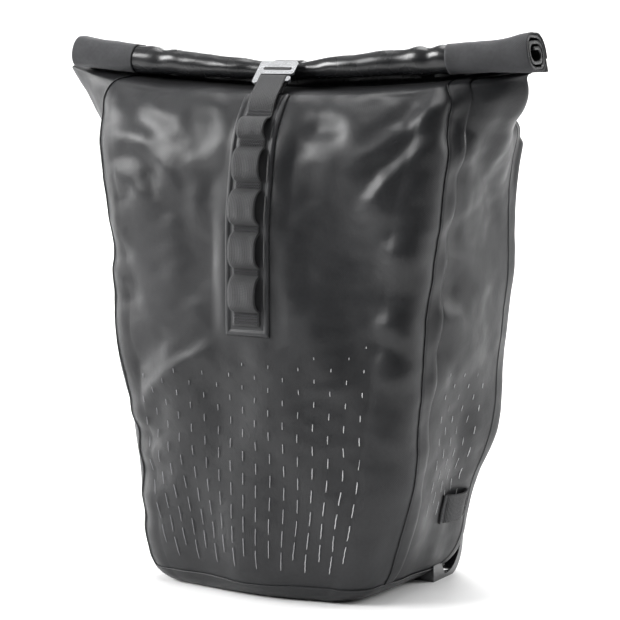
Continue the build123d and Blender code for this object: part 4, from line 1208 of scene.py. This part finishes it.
# ---------------------------------------------------------------- handle
sec = []
for a in np.linspace(0, 2 * math.pi, 28, endpoint=False):
    ca, sa = math.cos(a), math.sin(a)
    sec.append((81 + 11.6 * math.copysign(abs(ca) ** 0.75, ca), 4.3 * math.copysign(abs(sa) ** 0.75, sa)))
sec = np.array(sec)
H_ = []
for x in np.linspace(-44, 44, 60):
    pinch = 1 - 0.28 * smoothstep((abs(x) - 38) / 6)
    sag = 406.4 - 0.7 * (1 - (x / 44) ** 2)
    P_ = np.zeros((len(sec), 3))
    P_[:, 0] = x
    P_[:, 1] = 81 + (sec[:, 0] - 81) * pinch
    P_[:, 2] = sag + sec[:, 1] * pinch + 0.12 * math.sin(x * 1.1)
    H_.append(P_)
H_ = np.array(H_)
faces = grid_faces(*H_.shape[:2], wrap_n=True).tolist()
nn_ = len(sec)
faces += [list(range(nn_))[::-1], [(len(H_) - 1) * nn_ + i for i in range(nn_)]]
grip = mesh_object("handle_grip_cloth", H_.reshape(-1, 3), faces, WEB, arc_uv(H_).reshape(-1, 2))
ride(grip, "handle_body", "handle_grip")

for side, sg in (("left", -1), ("right", 1)):
    L_ = catmull([(42, 405.2), (49, 405.4), (56, 402.9), (63, 400.2), (69, 399.2), (76, 399.0), (82, 399.1)], 6)
    ys = np.linspace(-7, 7, 11)
    rings_ = []
    T2 = np.gradient(L_, axis=0)
    T2 /= np.linalg.norm(T2, axis=1, keepdims=True)
    for p, t2 in zip(L_, T2):
        nx, nz = -t2[1], t2[0]
        a_ = np.array([(sg * (p[0] + nx * 0.75), 79.5 + y, p[1] + nz * 0.75) for y in ys])
        b_ = np.array([(sg * (p[0] - nx * 0.75), 79.5 + y, p[1] - nz * 0.75) for y in ys])[::-1]
        rings_.append(np.vstack([a_, b_]))
    R_ = np.array(rings_)
    m, q = R_.shape[:2]
    faces = grid_faces(m, q, wrap_n=True, flip=sg < 0).tolist()
    for base_i, rev in ((0, False), ((m - 1) * q, True)):
        for i in range(len(ys) - 1):
            f = [base_i + i, base_i + i + 1, base_i + q - 2 - i, base_i + q - 1 - i]
            faces.append(f if rev != (sg < 0) else f[::-1])
    uv = np.zeros((m, q, 2))
    uv[:, :11, 0] = ys
    uv[:, 11:, 0] = ys[::-1]
    uv[:, :, 1] = np.arange(m)[:, None] * 1.0
    hs = mesh_object("handle_strap_%s_cloth" % side, R_.reshape(-1, 3), faces, WEB, uv.reshape(-1, 2) * MM)
    ride(hs, "handle_body", "handle_strap_" + side)
    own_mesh(hs)

# ---------------------------------------------------------------- hard parts keep their CAD shape
FINISH = {
    "hook_left": PLASTIC, "hook_right": PLASTIC, "latch_left": PLASTIC, "latch_right": PLASTIC,
    "rail_cap_left": PLASTIC, "rail_cap_right": PLASTIC, "stay_carrier": PLASTIC, "stay_hook": PLASTIC,
    "stay_knob": PLASTIC, "lower_rail": PLASTIC, "corner_bumper_left": GLOSS, "corner_bumper_right": GLOSS,
    "hook_rail": ALLOY, "bumper_rivets": STEEL, "closure_hook": CHROME, "back_board": BOARD,
    "base_stiffener": BOARD, "mouth_stiffener": BOARD,
}
for name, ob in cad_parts.items():
    mat = FINISH.get(name, STEEL)
    ob.data.materials.clear()
    ob.data.materials.append(mat)

# ---------------------------------------------------------------- floor, light, camera
def stage_mesh():
    pts, n = [], 40
    prof_ = [(-3.0, 0.0), (1.6, 0.0)]
    for a in np.linspace(0, math.pi / 2, 16):
        prof_.append((1.6 + 1.2 * math.sin(a), 1.2 - 1.2 * math.cos(a)))
    prof_.append((2.8, 4.5))
    V_, F_ = [], []
    for y, z in prof_:
        V_ += [(-4.5, y, z), (4.5, y, z)]
    for i in range(len(prof_) - 1):
        F_.append((2 * i, 2 * i + 1, 2 * i + 3, 2 * i + 2))
    me = bpy.data.meshes.new("studio")
    me.from_pydata(V_, [], F_)
    me.polygons.foreach_set("use_smooth", [True] * len(me.polygons))
    ob = bpy.data.objects.new("studio", me)
    bpy.context.scene.collection.objects.link(ob)
    m, nt, b = material("studio_paper")
    tc = node(nt, "ShaderNodeTexCoord")
    nz = node(nt, "ShaderNodeTexNoise", in_Scale=6.0, in_Detail=3.0)
    nt.links.new(tc.outputs["Object"], nz.inputs["Vector"])
    # The paper is white round the bag and painted grey well in front of it: painted shade, so the front of the bag
    # reflects a darker floor there.
    sep = nt.nodes.new("ShaderNodeSeparateXYZ")
    nt.links.new(tc.outputs["Object"], sep.inputs[0])
    painted_front_shade = ramp(nt, math_node(nt, "ADD", math_node(nt, "MULTIPLY", sep.outputs[1], 0.5), 1.0),
               [(0.42, (0.16, 0.16, 0.16)), (0.72, (1, 1, 1))])
    mix = node(nt, "ShaderNodeMix", data_type="RGBA", blend_type="MULTIPLY")
    mix.inputs[0].default_value = 1.0
    nt.links.new(grey_ramp(nt, nz.outputs["Fac"], 0.88, 0.90), mix.inputs[6])
    nt.links.new(painted_front_shade, mix.inputs[7])
    nt.links.new(mix.outputs[2], b.inputs["Base Color"])
    b.inputs["Roughness"].default_value = 0.9
    me.materials.append(m)
    return ob


studio = stage_mesh()
studio.rotation_euler = (0, 0, math.radians(30.5))


def area(name, loc, target, size, power, color=(1, 1, 1), size_y=None):
    li = bpy.data.lights.new(name, "AREA")
    li.energy = power
    li.color = color
    li.shape = "RECTANGLE"
    li.size = size
    li.size_y = size_y or size
    ob = bpy.data.objects.new(name, li)
    bpy.context.scene.collection.objects.link(ob)
    ob.location = loc
    d = Vector(target) - Vector(loc)
    ob.rotation_euler = d.to_track_quat("-Z", "Y").to_euler()
    return ob


area("key", (-1.9, -1.6, 1.5), (0, 0, 0.30), 1.3, 84, size_y=0.9)
area("left_strip", (-2.2, -0.3, 0.8), (0, 0, 0.25), 0.5, 26, size_y=1.6)
area("side", (2.0, 1.6, 1.1), (0, 0, 0.25), 1.3, 36, size_y=1.5)
area("front_fill", (0.9, -2.6, 0.9), (0, 0, 0.2), 1.2, 1.5)
area("top", (0.0, 0.4, 2.3), (0, 0.3, 0.0), 1.6, 50)
area("back", (-0.9, 2.2, 1.6), (0, 0, 0.3), 1.4, 30)

world = bpy.data.worlds.new("studio_world")
bpy.context.scene.world = world
world.use_nodes = True
wt = world.node_tree
bg = wt.nodes["Background"]
wtc = wt.nodes.new("ShaderNodeTexCoord")
wsep = wt.nodes.new("ShaderNodeSeparateXYZ")
wt.links.new(wtc.outputs["Generated"], wsep.inputs[0])
# Darker round the camera, paler above and behind, as in a studio with a dark front wall.
front_back = math_node(wt, "ADD", math_node(wt, "ADD", math_node(wt, "MULTIPLY", wsep.outputs[1], 0.42),
                                                math_node(wt, "MULTIPLY", wsep.outputs[0], -0.14)), 0.40)
overhead = math_node(wt, "MULTIPLY", math_node(wt, "MAXIMUM", wsep.outputs[2], 0.0), 0.55)
wt.links.new(grey_ramp(wt, math_node(wt, "ADD", front_back, overhead), 0.015, 1.0, 0.08, 0.95), bg.inputs[0])
bg.inputs[1].default_value = 0.8
bpy.context.scene.view_settings.view_transform = "Standard"
bpy.context.scene.view_settings.look = "None"

cam_data = bpy.data.cameras.new("camera")
cam = bpy.data.objects.new("camera", cam_data)
bpy.context.scene.collection.objects.link(cam)
az, el, roll_a = math.radians(30.54), math.radians(7.76), math.radians(-0.44)
centre = Vector((0, -0.020, 0.225))
backv = Vector((math.sin(az) * math.cos(el), -math.cos(az) * math.cos(el), math.sin(el)))
right0 = Vector((math.cos(az), math.sin(az), 0))
up0 = backv.cross(right0)
rightv = right0 * math.cos(roll_a) + up0 * math.sin(roll_a)
upv = -right0 * math.sin(roll_a) + up0 * math.cos(roll_a)
M = Matrix((rightv, upv, backv)).transposed().to_4x4()
M.translation = centre + backv * 1.97887
cam.matrix_world = M
cam_data.sensor_width = 36.0
cam_data.lens = 2388.28 * 36.0 / 620.0
cam_data.shift_x = 14.69 / 620.0
cam_data.shift_y = 5.78 / 620.0
cam_data.clip_end = 50
bpy.context.scene.camera = cam

bpy.context.view_layer.update()
